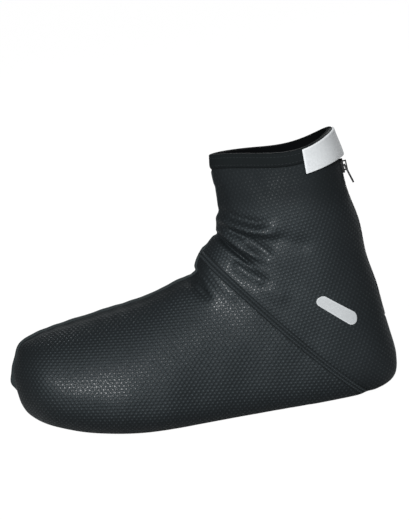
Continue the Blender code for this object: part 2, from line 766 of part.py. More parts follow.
def slider_matrix():
    """Frame of the slider: X out of the back, Z up the zip, origin on the shell's outer face."""
    middle = zip_place(COLLAR_BACK_HEIGHT - SLIDER_TOP_DROP - 0.5 * SLIDER_LENGTH)
    origin = local(skin(middle, -1, 1.0))
    normal = Vector(base_normal(middle, -1, 1.0))
    across = Vector((0.0, 1.0, 0.0))
    up = normal.cross(across)
    return Matrix.Translation(origin) @ Matrix((normal, across, up)).transposed().to_4x4()


def add_block(bm, low, high):
    """Add a box between two corners."""
    made = bmesh.ops.create_cube(bm, size=1.0)["verts"]
    size = [b - a for a, b in zip(low, high)]
    middle = [0.5 * (a + b) for a, b in zip(low, high)]
    bmesh.ops.scale(bm, vec=size, verts=made)
    bmesh.ops.translate(bm, vec=middle, verts=made)


def block_object(name, low, high, collection):
    """Box as an object of its own, for joining or cutting."""
    bm = bmesh.new()
    add_block(bm, low, high)
    mesh = bpy.data.meshes.new(name)
    bm.to_mesh(mesh)
    bm.free()
    obj = bpy.data.objects.new(name, mesh)
    obj.hide_render = True
    obj.display_type = "WIRE"
    collection.objects.link(obj)
    return obj


def apply_boolean(obj, tool, operation):
    """Add a Boolean modifier that joins or cuts with another object."""
    step = obj.modifiers.new(tool.name, "BOOLEAN")
    step.operation = operation
    step.solver = "EXACT"
    step.object = tool


def build_slider(collection, cutters):
    """Zip slider: a plate over the coil with two side walls and a bridge that holds the pull."""
    frame = slider_matrix()
    bm = bmesh.new()
    half_y = 0.5 * SLIDER_WIDTH
    half_z = 0.5 * SLIDER_LENGTH
    add_block(bm, (COIL_BASE, -half_y, -half_z), (SLIDER_FACE, half_y, half_z))
    corners = [e for e in bm.edges if e.verts[0].co.x != e.verts[1].co.x]
    bmesh.ops.bevel(bm, geom=corners, offset=SLIDER_CORNER, segments=3, profile=0.5, affect="EDGES")
    slider = add_piece("zip_slider", bm, "slider_metal", collection)
    slider.matrix_world = frame
    channel = 0.5 * COIL_WIDTH + SEAT_GAP
    groove = block_object("coil_groove", (COIL_BASE - SLIDER_PLATE, -channel, -SLIDER_LENGTH),
                          (SLIDER_CEILING, channel, SLIDER_LENGTH), cutters)
    bridge_half = 0.5 * BRIDGE_LENGTH
    bridge_top = SLIDER_FACE + BRIDGE_REACH
    sunk = 0.5 * SLIDER_PLATE
    arch = block_object("bridge", (SLIDER_FACE - sunk, -0.5 * BRIDGE_WIDTH, -bridge_half),
                        (bridge_top, 0.5 * BRIDGE_WIDTH, bridge_half), cutters)
    window = block_object("bridge_window", (SLIDER_FACE, -BRIDGE_WIDTH, BRIDGE_BAR - bridge_half),
                          (bridge_top - BRIDGE_BAR, BRIDGE_WIDTH, bridge_half - BRIDGE_BAR), cutters)
    for tool in (groove, arch, window):
        tool.matrix_world = frame
    apply_boolean(arch, window, "DIFFERENCE")
    apply_boolean(slider, groove, "DIFFERENCE")
    apply_boolean(slider, arch, "UNION")
    return slider


def build_pull(collection, cutters):
    """Zip pull that hangs from the slider's bridge on a cross bar, which is its hinge."""
    bm = bmesh.new()
    half_t = 0.5 * PULL_THICKNESS
    half_y = 0.5 * PULL_WIDTH
    add_block(bm, (-half_t, -half_y, -PULL_LENGTH + half_t), (half_t, half_y, half_t))
    ends = [e for e in bm.edges
            if e.verts[0].co.x != e.verts[1].co.x and e.verts[0].co.z < -half_t]
    bmesh.ops.bevel(bm, geom=ends, offset=PULL_CORNER, segments=4, profile=0.5, affect="EDGES")
    pull = add_piece("zip_pull", bm, "slider_metal", collection)
    window_half = half_y - PULL_RAIL
    window_end = 0.5 * BRIDGE_LENGTH + BRIDGE_BAR + SEAT_GAP
    window = block_object("pull_window", (-PULL_LENGTH, -window_half, -window_end),
                          (PULL_LENGTH, window_half, -half_t), cutters)
    hinge = slider_matrix() @ Vector((HINGE_LIFT, 0.0, 0.0))
    placed = Matrix.Translation(hinge) @ Matrix.Rotation(-PULL_TILT, 4, "Y")
    pull.matrix_world = placed
    window.matrix_world = placed
    apply_boolean(pull, window, "DIFFERENCE")
    return pull


def main():
    """Build every piece into its collection."""
    clear_scene()
    scene = bpy.context.scene
    part = bpy.data.collections.new("cycling_overshoe")
    cutters = bpy.data.collections.new("cutters")
    scene.collection.children.link(part)
    scene.collection.children.link(cutters)
    build_upper(part)
    build_sole_panel(part, cutters)
    build_vamp_seam(part)
    build_rear_seam(part)
    build_collar_hem(part)
    build_closure_tab(part)
    build_reflector(part)
    tape_width = ZIP_SLOT_WIDTH - 2.0 * TAPE_GAP
    tape_foot = ZIP_FOOT_HEIGHT + SLOT_END_LENGTH + SEAT_GAP
    back_strip("zip_tape", tape_width, zip_place(tape_foot), LAST, -TAPE_DEPTH, TAPE_THICKNESS,
               "zip_tape", part)
    coil_start = zip_place(tape_foot + COIL_FOOT_MARGIN)
    coil_end = zip_place(COLLAR_BACK_HEIGHT - SLIDER_TOP_DROP - 0.5 * SLIDER_LENGTH)
    back_strip("zip_coil", COIL_WIDTH, coil_start, coil_end, COIL_BASE, COIL_THICKNESS, "zip_coil", part)
    build_slider(part, cutters)
    build_pull(part, cutters)


main()
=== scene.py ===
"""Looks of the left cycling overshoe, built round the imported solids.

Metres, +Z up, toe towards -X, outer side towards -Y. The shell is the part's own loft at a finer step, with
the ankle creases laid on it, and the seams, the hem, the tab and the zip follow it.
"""
import logging
import math
from dataclasses import dataclass
from enum import Enum
from typing import Callable, Iterable, Sequence

import bmesh
import bpy
import numpy as np
from mathutils import Matrix, Vector


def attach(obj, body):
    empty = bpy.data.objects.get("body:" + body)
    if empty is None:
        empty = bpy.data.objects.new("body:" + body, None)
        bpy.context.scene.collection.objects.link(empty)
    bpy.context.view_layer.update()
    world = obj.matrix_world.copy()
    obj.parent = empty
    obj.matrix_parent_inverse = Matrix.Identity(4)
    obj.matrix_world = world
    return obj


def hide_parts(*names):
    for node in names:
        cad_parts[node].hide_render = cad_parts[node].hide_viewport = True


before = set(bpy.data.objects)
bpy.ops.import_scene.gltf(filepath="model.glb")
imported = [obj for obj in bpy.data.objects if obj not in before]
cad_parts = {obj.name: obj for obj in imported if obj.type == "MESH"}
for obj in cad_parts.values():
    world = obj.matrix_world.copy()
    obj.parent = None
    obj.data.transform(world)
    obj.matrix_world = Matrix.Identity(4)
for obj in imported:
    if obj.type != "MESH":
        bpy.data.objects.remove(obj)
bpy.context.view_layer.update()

LOG = logging.getLogger("overshoe")
MM = 0.001
Grid = np.ndarray


class Body(Enum):
    """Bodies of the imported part."""

    SHOE = "overshoe"
    PULL = "pull"


@dataclass(frozen=True)
class ShoeSizes:
    """Sizes that the part's source gives the shell, in metres."""

    foot_length: float = 0.290
    ball_width: float = 0.090
    ankle_width: float = 0.062
    nose_height: float = 0.051
    instep_height: float = 0.110
    collar_front: float = 0.1948
    collar_back: float = 0.2001
    wall: float = 0.002
    sole_wall: float = 0.0025
    seat_gap: float = 0.0003
    panel_toe_margin: float = 0.0215
    panel_heel_margin: float = 0.0208
    panel_share: float = 0.74
    panel_roundness: float = 2.6
    zip_foot: float = 0.052
    zip_slot: float = 0.011
    slot_end: float = 0.0018
    centre_y: float = 0.00023


# Rows of the shell: ridge x, ridge rise, sole x, sole z, outer, inner, widest, top power, low power, lean.
# Shares of the foot length, of the rise from nose to instep, of the nose height and of the ball width.
FOOT_ROWS = (
    (-0.488, 0.000, -0.488, 1.000, 0.000, 0.000, 0.50, 2.00, 2.00, 0.085),
    (-0.485, 0.144, -0.486, 0.824, 0.125, 0.112, 0.50, 2.00, 2.00, 0.085),
    (-0.474, 0.285, -0.480, 0.625, 0.228, 0.205, 0.54, 2.00, 2.00, 0.082),
    (-0.455, 0.452, -0.461, 0.455, 0.320, 0.292, 0.58, 1.95, 2.10, 0.075),
    (-0.414, 0.541, -0.418, 0.292, 0.425, 0.392, 0.62, 1.90, 2.30, 0.060),
    (-0.345, 0.619, -0.345, 0.137, 0.485, 0.458, 0.67, 1.80, 2.60, 0.040),
    (-0.269, 0.673, -0.269, 0.045, 0.510, 0.492, 0.70, 1.75, 3.00, 0.022),
    (-0.190, 0.736, -0.190, -0.012, 0.515, 0.498, 0.72, 1.70, 3.30, 0.006),
    (-0.103, 0.807, -0.103, -0.039, 0.488, 0.455, 0.72, 1.70, 3.40, -0.008),
    (-0.028, 0.920, -0.017, -0.043, 0.445, 0.402, 0.72, 1.75, 3.40, -0.008),
    (0.022, 1.000, 0.086, -0.043, 0.406, 0.362, 0.72, 1.85, 3.40, -0.004),
)
# Rows of the shaft: front x, front rise, back x, back z, outer, inner, widest, top power, low power, sag.
# Shares of the foot length, of the rise from instep to collar, of the collar's back height and of the ankle's
# width.
SHAFT_ROWS = (
    (0.0262, 0.061, 0.1966, -0.011, 0.550, 0.500, 0.70, 2.00, 3.60, 0.000),
    (0.0334, 0.120, 0.3034, -0.011, 0.532, 0.500, 0.66, 2.10, 3.90, 0.000),
    (0.0431, 0.166, 0.4138, 0.001, 0.524, 0.508, 0.62, 2.20, 3.60, 0.000),
    (0.0586, 0.210, 0.4810, 0.037, 0.516, 0.508, 0.60, 2.30, 3.00, 0.000),
    (0.0776, 0.269, 0.4993, 0.115, 0.516, 0.508, 0.58, 2.30, 2.50, 0.000),
    (0.0924, 0.315, 0.4914, 0.230, 0.508, 0.500, 0.58, 2.20, 2.20, 0.000),
    (0.0983, 0.394, 0.4793, 0.382, 0.500, 0.500, 0.58, 2.10, 2.10, 0.000),
    (0.1066, 0.501, 0.4648, 0.518, 0.500, 0.500, 0.60, 1.95, 2.10, 0.000),
    (0.1086, 0.614, 0.4590, 0.656, 0.500, 0.500, 0.62, 1.80, 2.10, 0.005),
    (0.1086, 0.733, 0.4424, 0.776, 0.500, 0.500, 0.66, 1.65, 2.10, 0.015),
    (0.1069, 0.876, 0.4372, 0.882, 0.500, 0.500, 0.70, 1.45, 2.05, 0.031),
    (0.1103, 1.000, 0.4270, 1.000, 0.500, 0.500, 0.72, 1.35, 2.00, 0.038),
)
# Places along the loft, in rows from the nose, and the rows by which the rear seam bows towards the toe.
BALL, SEAM, HEEL_BACK, LAST = 7.0, 13.0, 15.0, 22.0
SEAM_BOW = 0.20
UPWARD = np.array([0.0, 0.0, 1.0])
SIDEWAYS = np.array([0.0, 1.0, 0.0])


@dataclass(frozen=True)
class Crease:
    """A fold of the cloth along a line seen from the side, in millimetres of the shoe.

    A positive rise is a ridge and a negative one a trough. width is its reach to either side, and skew makes
    the lower side steeper, as where cloth hangs over itself.
    """

    path: tuple[tuple[float, float], ...]
    rise: float
    width: float
    skew: float = 0.0
    fade: float = 0.35


CREASES = (
    Crease(((28.4, 150.0), (37.4, 143.0), (49.7, 137.4), (63.2, 133.6), (80.0, 132.5)), 3.2, 5.0, 0.35),
    Crease(((30.0, 155.0), (44.1, 146.4), (57.2, 141.4), (70.0, 141.0)), -2.1, 3.4),
    Crease(((31.0, 146.0), (36.9, 139.5), (45.1, 134.0), (54.0, 129.5)), -1.6, 2.6),
    Crease(((26.0, 138.2), (32.0, 129.9), (37.9, 123.5), (43.1, 117.9), (51.5, 109.0)), -3.6, 1.7, -0.3,
           0.3),
    Crease(((29.0, 141.0), (35.4, 133.2), (43.1, 124.8), (51.5, 118.1), (62.0, 111.0)), 2.5, 3.6, 0.3),
    Crease(((34.0, 116.0), (42.0, 108.5), (50.5, 102.0), (62.0, 94.0)), -2.0, 4.2),
    Crease(((48.2, 131.0), (55.8, 124.0), (66.0, 114.5)), -1.6, 4.0),
    Crease(((50.0, 96.0), (60.0, 89.0), (72.0, 80.0)), 0.9, 6.0),
    Crease(((14.6, 117.7), (20.4, 108.8), (29.6, 97.0), (42.0, 86.0)), 1.3, 6.5),
    Crease(((1.5, 108.5), (5.0, 103.0), (9.8, 97.5), (17.0, 90.0)), -2.2, 3.4, -0.4, 0.5),
    Crease(((68.0, 131.0), (82.0, 123.0), (99.0, 119.0)), -1.0, 6.0),
    Crease(((33.5, 174.0), (34.5, 163.0), (37.5, 155.0)), -1.0, 3.2),
    Crease(((58.0, 178.0), (64.0, 168.0), (66.0, 156.0)), -0.4, 6.0),
)


def smooth(value: Grid) -> Grid:
    """Smooth step from 0 to 1."""
    kept = np.clip(value, 0.0, 1.0)
    return kept * kept * (3.0 - 2.0 * kept)


def arc_lengths(points: Grid, axis: int = 0) -> Grid:
    """Distance travelled along rows of points, from 0."""
    steps = np.linalg.norm(np.diff(points, axis=axis), axis=-1)
    return np.concatenate((0.0 * steps.take([0], axis=axis), np.cumsum(steps, axis=axis)), axis=axis)


class Shell:
    """The overshoe's surface: a place along the loft, in rows from the nose, and a signed share of the loop.

    A share runs from -1 at the sole's or the heel's centre line, over the outer side, to 0 at the ridge, and
    over the inner side to 1.
    """

    TABLE_STEP = 0.05
    ANGLES = 181
    SHARES = 161
    SEAM_POINTS = 61
    SLOPE = 0.02
    NOSE_SLOPE = 0.25
    CREASE_START = 0.18
    CREASE_FLOOR = 0.16
    WAVE_MM = 0.20
    PUCKER_MM = 0.16
    GROOVE_MM = 0.45
    VALLEY = 0.0008
    VALLEY_REACH = 0.0040

    def __init__(self, sizes: ShoeSizes) -> None:
        """Work out the sections and the table that spaces points evenly round each loop."""
        self.sizes = sizes
        self.values = self._section_values()
        self._tabulate()
        self.seam_shares = np.linspace(0.0, 1.0, self.SEAM_POINTS)
        line = self.bowed(np.full(self.SEAM_POINTS, SEAM), self.seam_shares)
        self.seam_stretch = np.linalg.norm(self.per_row(line, -self.seam_shares), axis=-1)
        foot = sizes.foot_length
        self.nose_x = FOOT_ROWS[0][0] * foot
        self.heel_x = SHAFT_ROWS[4][2] * foot
        self.panel_front = self.nose_x + sizes.panel_toe_margin
        self.panel_back = self.heel_x - sizes.panel_heel_margin
        self.panel_start = self.place_at_sole(self.panel_front)
        self.panel_end = self.place_at_sole(self.panel_back)
        self.zip_start = self.place_at_back(sizes.zip_foot)
        self.zip_open = self.place_at_back(sizes.zip_foot + sizes.slot_end)

    def _section_values(self) -> Grid:
        """Sections in metres, with one ghost row before the nose and one after the collar."""
        s = self.sizes
        rise = s.instep_height - s.nose_height
        rows = []
        for r in FOOT_ROWS:
            rows.append((r[0] * s.foot_length, s.nose_height + r[1] * rise, r[2] * s.foot_length,
                         r[3] * s.nose_height, r[4] * s.ball_width, r[5] * s.ball_width, r[6], r[7], r[8],
                         r[9] * s.ball_width, 0.0))
        rise = s.collar_front - s.instep_height
        for r in SHAFT_ROWS:
            rows.append((r[0] * s.foot_length, s.instep_height + r[1] * rise, r[2] * s.foot_length,
                         r[3] * s.collar_back, r[4] * s.ankle_width, r[5] * s.ankle_width, r[6], r[7], r[8],
                         0.0, r[9] * s.collar_back))
        values = np.array(rows)
        ghost = values[1].copy()
        ghost[[0, 1, 2, 3]] = values[1][[2, 3, 0, 1]]
        ghost[[4, 5]] *= -1.0
        return np.vstack((ghost, values, 2.0 * values[-1] - values[-2]))

    def section(self, place: Grid) -> Grid:
        """Smooth sections at any places, one value per column of the last axis."""
        place = np.clip(place, 0.0, LAST)
        low = np.minimum(place.astype(int), int(LAST) - 1)
        t = (place - low)[..., None]
        before, here, there, after = (self.values[low + k] for k in range(4))
        square = 2.0 * before - 5.0 * here + 4.0 * there - after
        cube = 3.0 * here - before - 3.0 * there + after
        return 0.5 * (2.0 * here + (there - before) * t + square * t**2 + cube * t**3)

    @staticmethod
    def loop_point(s: Grid, inner: Grid, angle: Grid) -> Grid:
        """Point of a half loop at an angle from its front point (0) to its back point (pi)."""
        front = angle <= math.pi / 2
        power = np.where(front, s[..., 7], s[..., 8])
        along = np.abs(np.cos(angle)) ** (2.0 / power)
        down = np.where(front, s[..., 6] * (1.0 - along), s[..., 6] + (1.0 - s[..., 6]) * along)
        reach = np.clip(np.sin(angle), 0.0, 1.0) ** (2.0 / power)
        half = np.where(inner, s[..., 5], s[..., 4])
        x = s[..., 0] + down * (s[..., 2] - s[..., 0])
        z = s[..., 1] + down * (s[..., 3] - s[..., 1])
        z = z - s[..., 10] * np.sin(math.pi * down**1.6)
        y = s[..., 9] + np.where(inner, 1.0, -1.0) * half * reach
        return np.stack((x, y, np.maximum(z, 0.0)), axis=-1)

    def _tabulate(self) -> None:
        """Table of the angle at an even share of each half loop's length."""
        count = round(LAST / self.TABLE_STEP) + 1
        angle = np.linspace(0.0, math.pi, self.ANGLES)
        shares = np.linspace(0.0, 1.0, self.SHARES)
        sections = self.section(np.linspace(0.0, LAST, count))[:, None, :]
        self.table = np.zeros((2, count, self.SHARES))
        for inner in (0, 1):
            points = self.loop_point(sections, np.full((count, self.ANGLES), bool(inner)), angle[None, :])
            lengths = arc_lengths(points, 1)
            for k in range(1, count):
                self.table[inner, k] = np.interp(shares, lengths[k] / lengths[k, -1], angle)
            self.table[inner, 0] = self.table[inner, 1]

    def base(self, place: Grid, share: Grid) -> Grid:
        """Point of the shell without creases."""
        share = np.where(share > 1.0, share - 2.0, np.where(share < -1.0, share + 2.0, share))
        inner = share > 0.0
        place = np.clip(place, 0.0, LAST)
        row = np.clip(place / self.TABLE_STEP, 0.0, self.table.shape[1] - 1.001)
        column = np.clip(np.abs(share) * (self.SHARES - 1), 0.0, self.SHARES - 1.001)
        k, m = row.astype(int), column.astype(int)
        u, v = row - k, column - m
        side = inner.astype(int)
        angle = ((1 - u) * ((1 - v) * self.table[side, k, m] + v * self.table[side, k, m + 1])
                 + u * ((1 - v) * self.table[side, k + 1, m] + v * self.table[side, k + 1, m + 1]))
        return self.loop_point(self.section(place), inner, angle)

    def per_row(self, place: Grid, share: Grid) -> Grid:
        """Step of the shell for one row of the loft."""
        apart = self.base(place + self.SLOPE, share) - self.base(place - self.SLOPE, share)
        return apart / (2.0 * self.SLOPE)

    def normal(self, place: Grid, share: Grid) -> Grid:
        """Outward normal of the shell without creases."""
        place, share = np.broadcast_arrays(np.asarray(place, float), np.asarray(share, float))
        place = np.maximum(place, self.NOSE_SLOPE)
        along = self.base(place + self.SLOPE, share) - self.base(place - self.SLOPE, share)
        around = self.base(place, share + self.SLOPE) - self.base(place, share - self.SLOPE)
        out = np.cross(along, around)
        return out / np.maximum(np.linalg.norm(out, axis=-1, keepdims=True), 1e-12)

    def crease_rise(self, point: Grid) -> Grid:
        """Height of the creases over the shell, from where the points lie seen from the side."""
        flat = point[..., [0, 2]] / MM
        rise = np.zeros(point.shape[:-1])
        for crease in CREASES:
            path = np.array(crease.path)
            starts = arc_lengths(path)
            lengths = np.linalg.norm(np.diff(path, axis=0), axis=1)
            best = np.full(rise.shape, 1e9)
            where = np.zeros(rise.shape)
            sign = np.ones(rise.shape)
            for k, length in enumerate(lengths):
                run = (path[k + 1] - path[k]) / length
                offset = flat - path[k]
                t = np.clip(offset @ run, 0.0, length)
                apart = offset - t[..., None] * run
                distance = np.linalg.norm(apart, axis=-1)
                nearer = distance < best
                best = np.where(nearer, distance, best)
                where = np.where(nearer, (starts[k] + t) / starts[-1], where)
                above = np.where(apart[..., 0] * run[1] - apart[..., 1] * run[0] < 0.0, 1.0, -1.0)
                sign = np.where(nearer, above, sign)
            width = crease.width * (1.0 + crease.skew * np.tanh(sign * best / crease.width * 2.0))
            fade = smooth(where / self.CREASE_START + self.CREASE_FLOOR) * smooth((1.0 - where) / crease.fade)
            rise += crease.rise * fade * np.exp(-((best / width) ** 2))
        return rise * MM

    def waves(self, point: Grid) -> Grid:
        """Slow unevenness of soft cloth."""
        x, y, z = (point[..., k] / MM for k in range(3))
        slow = (np.sin(x / 9.5 + z / 17.0 + 0.6) * np.sin(z / 13.0 - x / 21.0 + 1.9)
                + 0.6 * np.sin(x / 6.1 - z / 8.3 + y / 11.0) + 0.5 * np.sin(z / 5.7 + x / 14.0 + 2.2))
        return self.WAVE_MM * slow * smooth(z / 12.0) * MM

    def pucker(self, place: Grid, share: Grid, point: Grid) -> Grid:
        """Short waves and a groove where the cloth is gathered beside the sewn ridge."""
        run = point[..., 0] / MM
        near = np.exp(-((np.abs(share) / 0.10) ** 2)) * smooth((12.6 - place) / 0.8)
        rise = self.PUCKER_MM * near * np.sin(run / 2.4 + 0.9 * np.sin(run / 9.0))
        ends = smooth(place / 2.0) * smooth((21.0 - place) / 2.0)
        groove = np.exp(-(((np.abs(share) - 0.045) / 0.022) ** 2)) * ends
        return (rise - self.GROOVE_MM * groove) * MM

    def seam_offset(self, place: Grid, share: Grid) -> Grid:
        """Distance across the cloth from the rear seam's centre line."""
        stretch = np.interp(np.abs(share), self.seam_shares, self.seam_stretch)
        return (place + SEAM_BOW * np.sin(math.pi * np.abs(share)) - SEAM) * stretch

    def seam_valley(self, place: Grid, share: Grid) -> Grid:
        """Depth of the groove that the rear seam pulls into the cloth."""
        return self.VALLEY * np.exp(-((self.seam_offset(place, share) / self.VALLEY_REACH) ** 2))

    def skin(self, place: Grid, share: Grid, lift: Grid | float = 0.0) -> Grid:
        """Point of the creased shell, lifted outwards, never under the floor, in the frame of the part."""
        place, share = np.broadcast_arrays(np.asarray(place, float), np.asarray(share, float))
        point = self.base(place, share)
        rise = self.crease_rise(point) + self.waves(point) + self.pucker(place, share, point)
        rise = rise - self.seam_valley(place, share) + lift
        out = point + self.normal(place, share) * rise[..., None]
        out[..., 2] = np.maximum(out[..., 2], 0.0)
        out[..., 1] -= self.sizes.centre_y
        return out

    def place_at_sole(self, x: float) -> float:
        """Place along the loft whose back point is at x on the sole."""
        places = np.linspace(1.0, HEEL_BACK, 1401)
        return float(np.interp(x, self.section(places)[:, 2], places))

    def place_at_back(self, height: float) -> float:
        """Place along the loft where the back centre line passes a height."""
        places = np.linspace(14.0, LAST, 1601)
        return float(np.interp(height, self.base(places, np.ones(places.shape))[:, 2], places))

    def share_at_width(self, place: float, inner: bool, half_width: float) -> float:
        """Share of a half loop, towards its back point, where it is this far from the centre plane."""
        shares = np.linspace(0.0, 1.0, 401)
        signed = shares if inner else -shares
        points = self.base(np.full(shares.shape, place), signed)
        reach = np.abs(points[:, 1] - self.section(np.array(place))[9])
        peak = int(np.argmax(reach))
        return float(np.interp(-half_width, -reach[peak:], shares[peak:]))

    def opening_width(self, place: float) -> float:
        """Half width of the shell's own opening on a loop: the sole's seat, the zip slot, or nothing."""
        s = self.section(np.array(place))
        if self.panel_start < place < self.panel_end:
            middle = 0.5 * (self.panel_front + self.panel_back)
            run = min(abs(s[2] - middle) / (self.panel_back - middle), 1.0)
            rounding = (1.0 - run**self.sizes.panel_roundness) ** (1.0 / self.sizes.panel_roundness)
            return float(self.sizes.panel_share * 0.5 * (s[4] + s[5]) * rounding)
        if place > self.zip_start:
            opened = (place - self.zip_start) / (self.zip_open - self.zip_start)
            return 0.5 * self.sizes.zip_slot * min(opened, 1.0)
        return 0.0

    @staticmethod
    def bowed(place: Grid, share: Grid) -> Grid:
        """Place moved so that the loop numbered SEAM runs along the rear seam's bowed line."""
        near = np.where(place < SEAM, smooth((place - 9.5) / 3.5), smooth((15.5 - place) / 2.5))
        return place - SEAM_BOW * np.sin(math.pi * np.abs(share)) * near

    def end_share(self, place: float, inner: bool) -> float:
        """Share where the shell's cloth ends on a bowed loop."""
        end = 1.0
        for _ in range(6):
            there = float(self.bowed(np.array(place), np.array(end)))
            width = self.opening_width(there)
            end = self.share_at_width(there, inner, width) if width > 1e-5 else 1.0
        return end

    def depth_place(self, share: Grid, depth: Grid) -> Grid:
        """Place along the loft that lies this deep under the rim."""
        share, depth = np.broadcast_arrays(np.asarray(share, float), np.asarray(depth, float))
        places = np.linspace(LAST - 3.0, LAST, 61)
        out = np.zeros(share.shape)
        for index in np.ndindex(share.shape):
            points = self.base(places, np.full(places.shape, share[index]))
            out[index] = np.interp(depth[index], arc_lengths(points[::-1]), places[::-1])
        return out


class Graph:
    """Short hand for building a node tree."""

    def __init__(self, tree: bpy.types.NodeTree) -> None:
        """Keep the tree."""
        self.tree = tree

    def add(self, kind: str, inputs: dict | None = None, **settings: object) -> bpy.types.Node:
        """Add a node, set its properties and fill its inputs with values or links."""
        node = self.tree.nodes.new(kind)
        for name, value in settings.items():
            setattr(node, name, value)
        for name, value in (inputs or {}).items():
            self.put(node.inputs[name], value)
        return node

    def put(self, socket: bpy.types.NodeSocket, value: object) -> None:
        """Link an output to a socket, or set the socket's value."""
        if isinstance(value, bpy.types.NodeSocket):
            self.tree.links.new(value, socket)
        else:
            socket.default_value = value

    def math(self, operation: str, *values: object) -> bpy.types.NodeSocket:
        """Output of a Math node."""
        node = self.add("ShaderNodeMath", operation=operation)
        for k, value in enumerate(values):
            self.put(node.inputs[k], value)
        return node.outputs[0]

    def ease(self, value: object, low: float, high: float, start: float = 0.0,
             end: float = 1.0) -> bpy.types.NodeSocket:
        """Output of a smooth Map Range node."""
        node = self.add("ShaderNodeMapRange", {0: value, 1: low, 2: high, 3: start, 4: end},
                        interpolation_type="SMOOTHSTEP")
        return node.outputs[0]

    def mix(self, share: object, first: object, second: object, blend: str = "MIX") -> bpy.types.NodeSocket:
        """Colour between two colours, or their product."""
        node = self.add("ShaderNodeMix", data_type="RGBA", blend_type=blend)
        self.put(node.inputs["Factor"], share)
        self.put(node.inputs[6], first)
        self.put(node.inputs[7], second)
        return node.outputs[2]

    def noise(self, place: object, scale: float, detail: float) -> bpy.types.NodeSocket:
        """Output of a Noise Texture node."""
        node = self.add("ShaderNodeTexNoise", {"Vector": place, "Scale": scale, "Detail": detail})
        return node.outputs["Fac"]

    def value(self, name: str) -> bpy.types.NodeSocket:
        """Number that the mesh keeps under a name."""
        return self.add("ShaderNodeAttribute", attribute_name=name).outputs["Fac"]

    def group(self, builder: Callable[[], bpy.types.NodeTree], **values: object) -> bpy.types.Node:
        """Node of a shared group, with its inputs filled."""
        inputs = {name.replace("_", " ").title(): value for name, value in values.items()}
        return self.add("ShaderNodeGroup", node_tree=Groups.get(builder), inputs=inputs)

    def dress(self, shader: bpy.types.Node, height: object, strength: float = 1.0, **values: object) -> None:
        """Give a shader its relief and its plain values, named as its sockets are."""
        bump = self.add("ShaderNodeBump", {"Height": height, "Strength": strength, "Distance": 1.0})
        self.put(shader.inputs["Normal"], bump.outputs[0])
        for name, value in values.items():
            shader.inputs[name.replace("_", " ").title().replace("Ior", "IOR")].default_value = value


def new_group(name: str, kind: str, inputs: Sequence[tuple], outputs: Sequence[tuple]) -> tuple:
    """Make a node group with named sockets.

    Args:
        name: Name of the group.
        kind: Type of the tree.
        inputs: Rows of socket name, socket type and default value, or None for no default.
        outputs: Rows of socket name and socket type.

    Returns:
        The group, its Graph, its input node and its output node.
    """
    group = bpy.data.node_groups.new(name, kind)
    for label, socket, value in inputs:
        made = group.interface.new_socket(name=label, in_out="INPUT", socket_type=socket)
        if value is not None:
            made.default_value = value
    for label, socket in outputs:
        group.interface.new_socket(name=label, in_out="OUTPUT", socket_type=socket)
    graph = Graph(group)
    return group, graph, graph.add("NodeGroupInput"), graph.add("NodeGroupOutput")


def dot_lattice_group() -> bpy.types.NodeTree:
    """Staggered rows of small raised dots, as the stretch cloth has on its face."""
    group, g, given, put_out = new_group(
        "dot_lattice", "ShaderNodeTree",
        [("Vector", "NodeSocketVector", None), ("Pitch", "NodeSocketFloat", 0.0034),
         ("Row Pitch", "NodeSocketFloat", 0.0024), ("Radius", "NodeSocketFloat", 0.00085),
         ("Cell Radius", "NodeSocketFloat", 0.0017)],
        [("Dot", "NodeSocketFloat"), ("Cell", "NodeSocketFloat"), ("Random", "NodeSocketFloat")])
    axes = g.add("ShaderNodeSeparateXYZ", {0: given.outputs["Vector"]})
    across = g.math("DIVIDE", axes.outputs[1], given.outputs["Row Pitch"])
    row = g.math("FLOOR", across)
    shift = g.math("MULTIPLY", g.math("FLOORED_MODULO", row, 2.0), 0.5)
    along = g.math("ADD", g.math("DIVIDE", axes.outputs[0], given.outputs["Pitch"]), shift)
    cell = g.math("FLOOR", along)
    du = g.math("MULTIPLY", g.math("SUBTRACT", g.math("SUBTRACT", along, cell), 0.5), given.outputs["Pitch"])
    dv = g.math("MULTIPLY", g.math("SUBTRACT", g.math("SUBTRACT", across, row), 0.5),
                given.outputs["Row Pitch"])
    away = g.math("SQRT", g.math("ADD", g.math("MULTIPLY", du, du), g.math("MULTIPLY", dv, dv)))
    dot = g.ease(g.math("DIVIDE", away, given.outputs["Radius"]), 0.15, 1.0, 1.0, 0.0)
    swell = g.ease(g.math("DIVIDE", away, given.outputs["Cell Radius"]), 0.0, 1.0, 1.0, 0.0)
    key = g.add("ShaderNodeCombineXYZ", {0: cell, 1: row})
    noise = g.add("ShaderNodeTexWhiteNoise", {"Vector": key.outputs[0]}, noise_dimensions="2D")
    g.put(put_out.inputs["Dot"], dot)
    g.put(put_out.inputs["Cell"], swell)
    g.put(put_out.inputs["Random"], noise.outputs["Value"])
    return group


def knit_group() -> bpy.types.NodeTree:
    """Fine knit: thin wales with a little irregular nap."""
    group, g, given, put_out = new_group(
        "fine_knit", "ShaderNodeTree",
        [("Vector", "NodeSocketVector", None), ("Scale", "NodeSocketFloat", 900.0),
         ("Nap", "NodeSocketFloat", 0.5)],
        [("Value", "NodeSocketFloat")])
    wale = g.add("ShaderNodeTexWave", {"Vector": given.outputs["Vector"], "Scale": given.outputs["Scale"],
                                       "Distortion": 1.5, "Detail": 1.0, "Detail Scale": 2.0},
                 wave_type="BANDS", bands_direction="DIAGONAL")
    blend = g.add("ShaderNodeMix", {"Factor": given.outputs["Nap"]}, data_type="FLOAT")
    g.put(blend.inputs[2], wale.outputs["Fac"])
    g.put(blend.inputs[3], g.noise(given.outputs["Vector"], 1400.0, 2.0))
    g.put(put_out.inputs["Value"], blend.outputs[0])
    return group


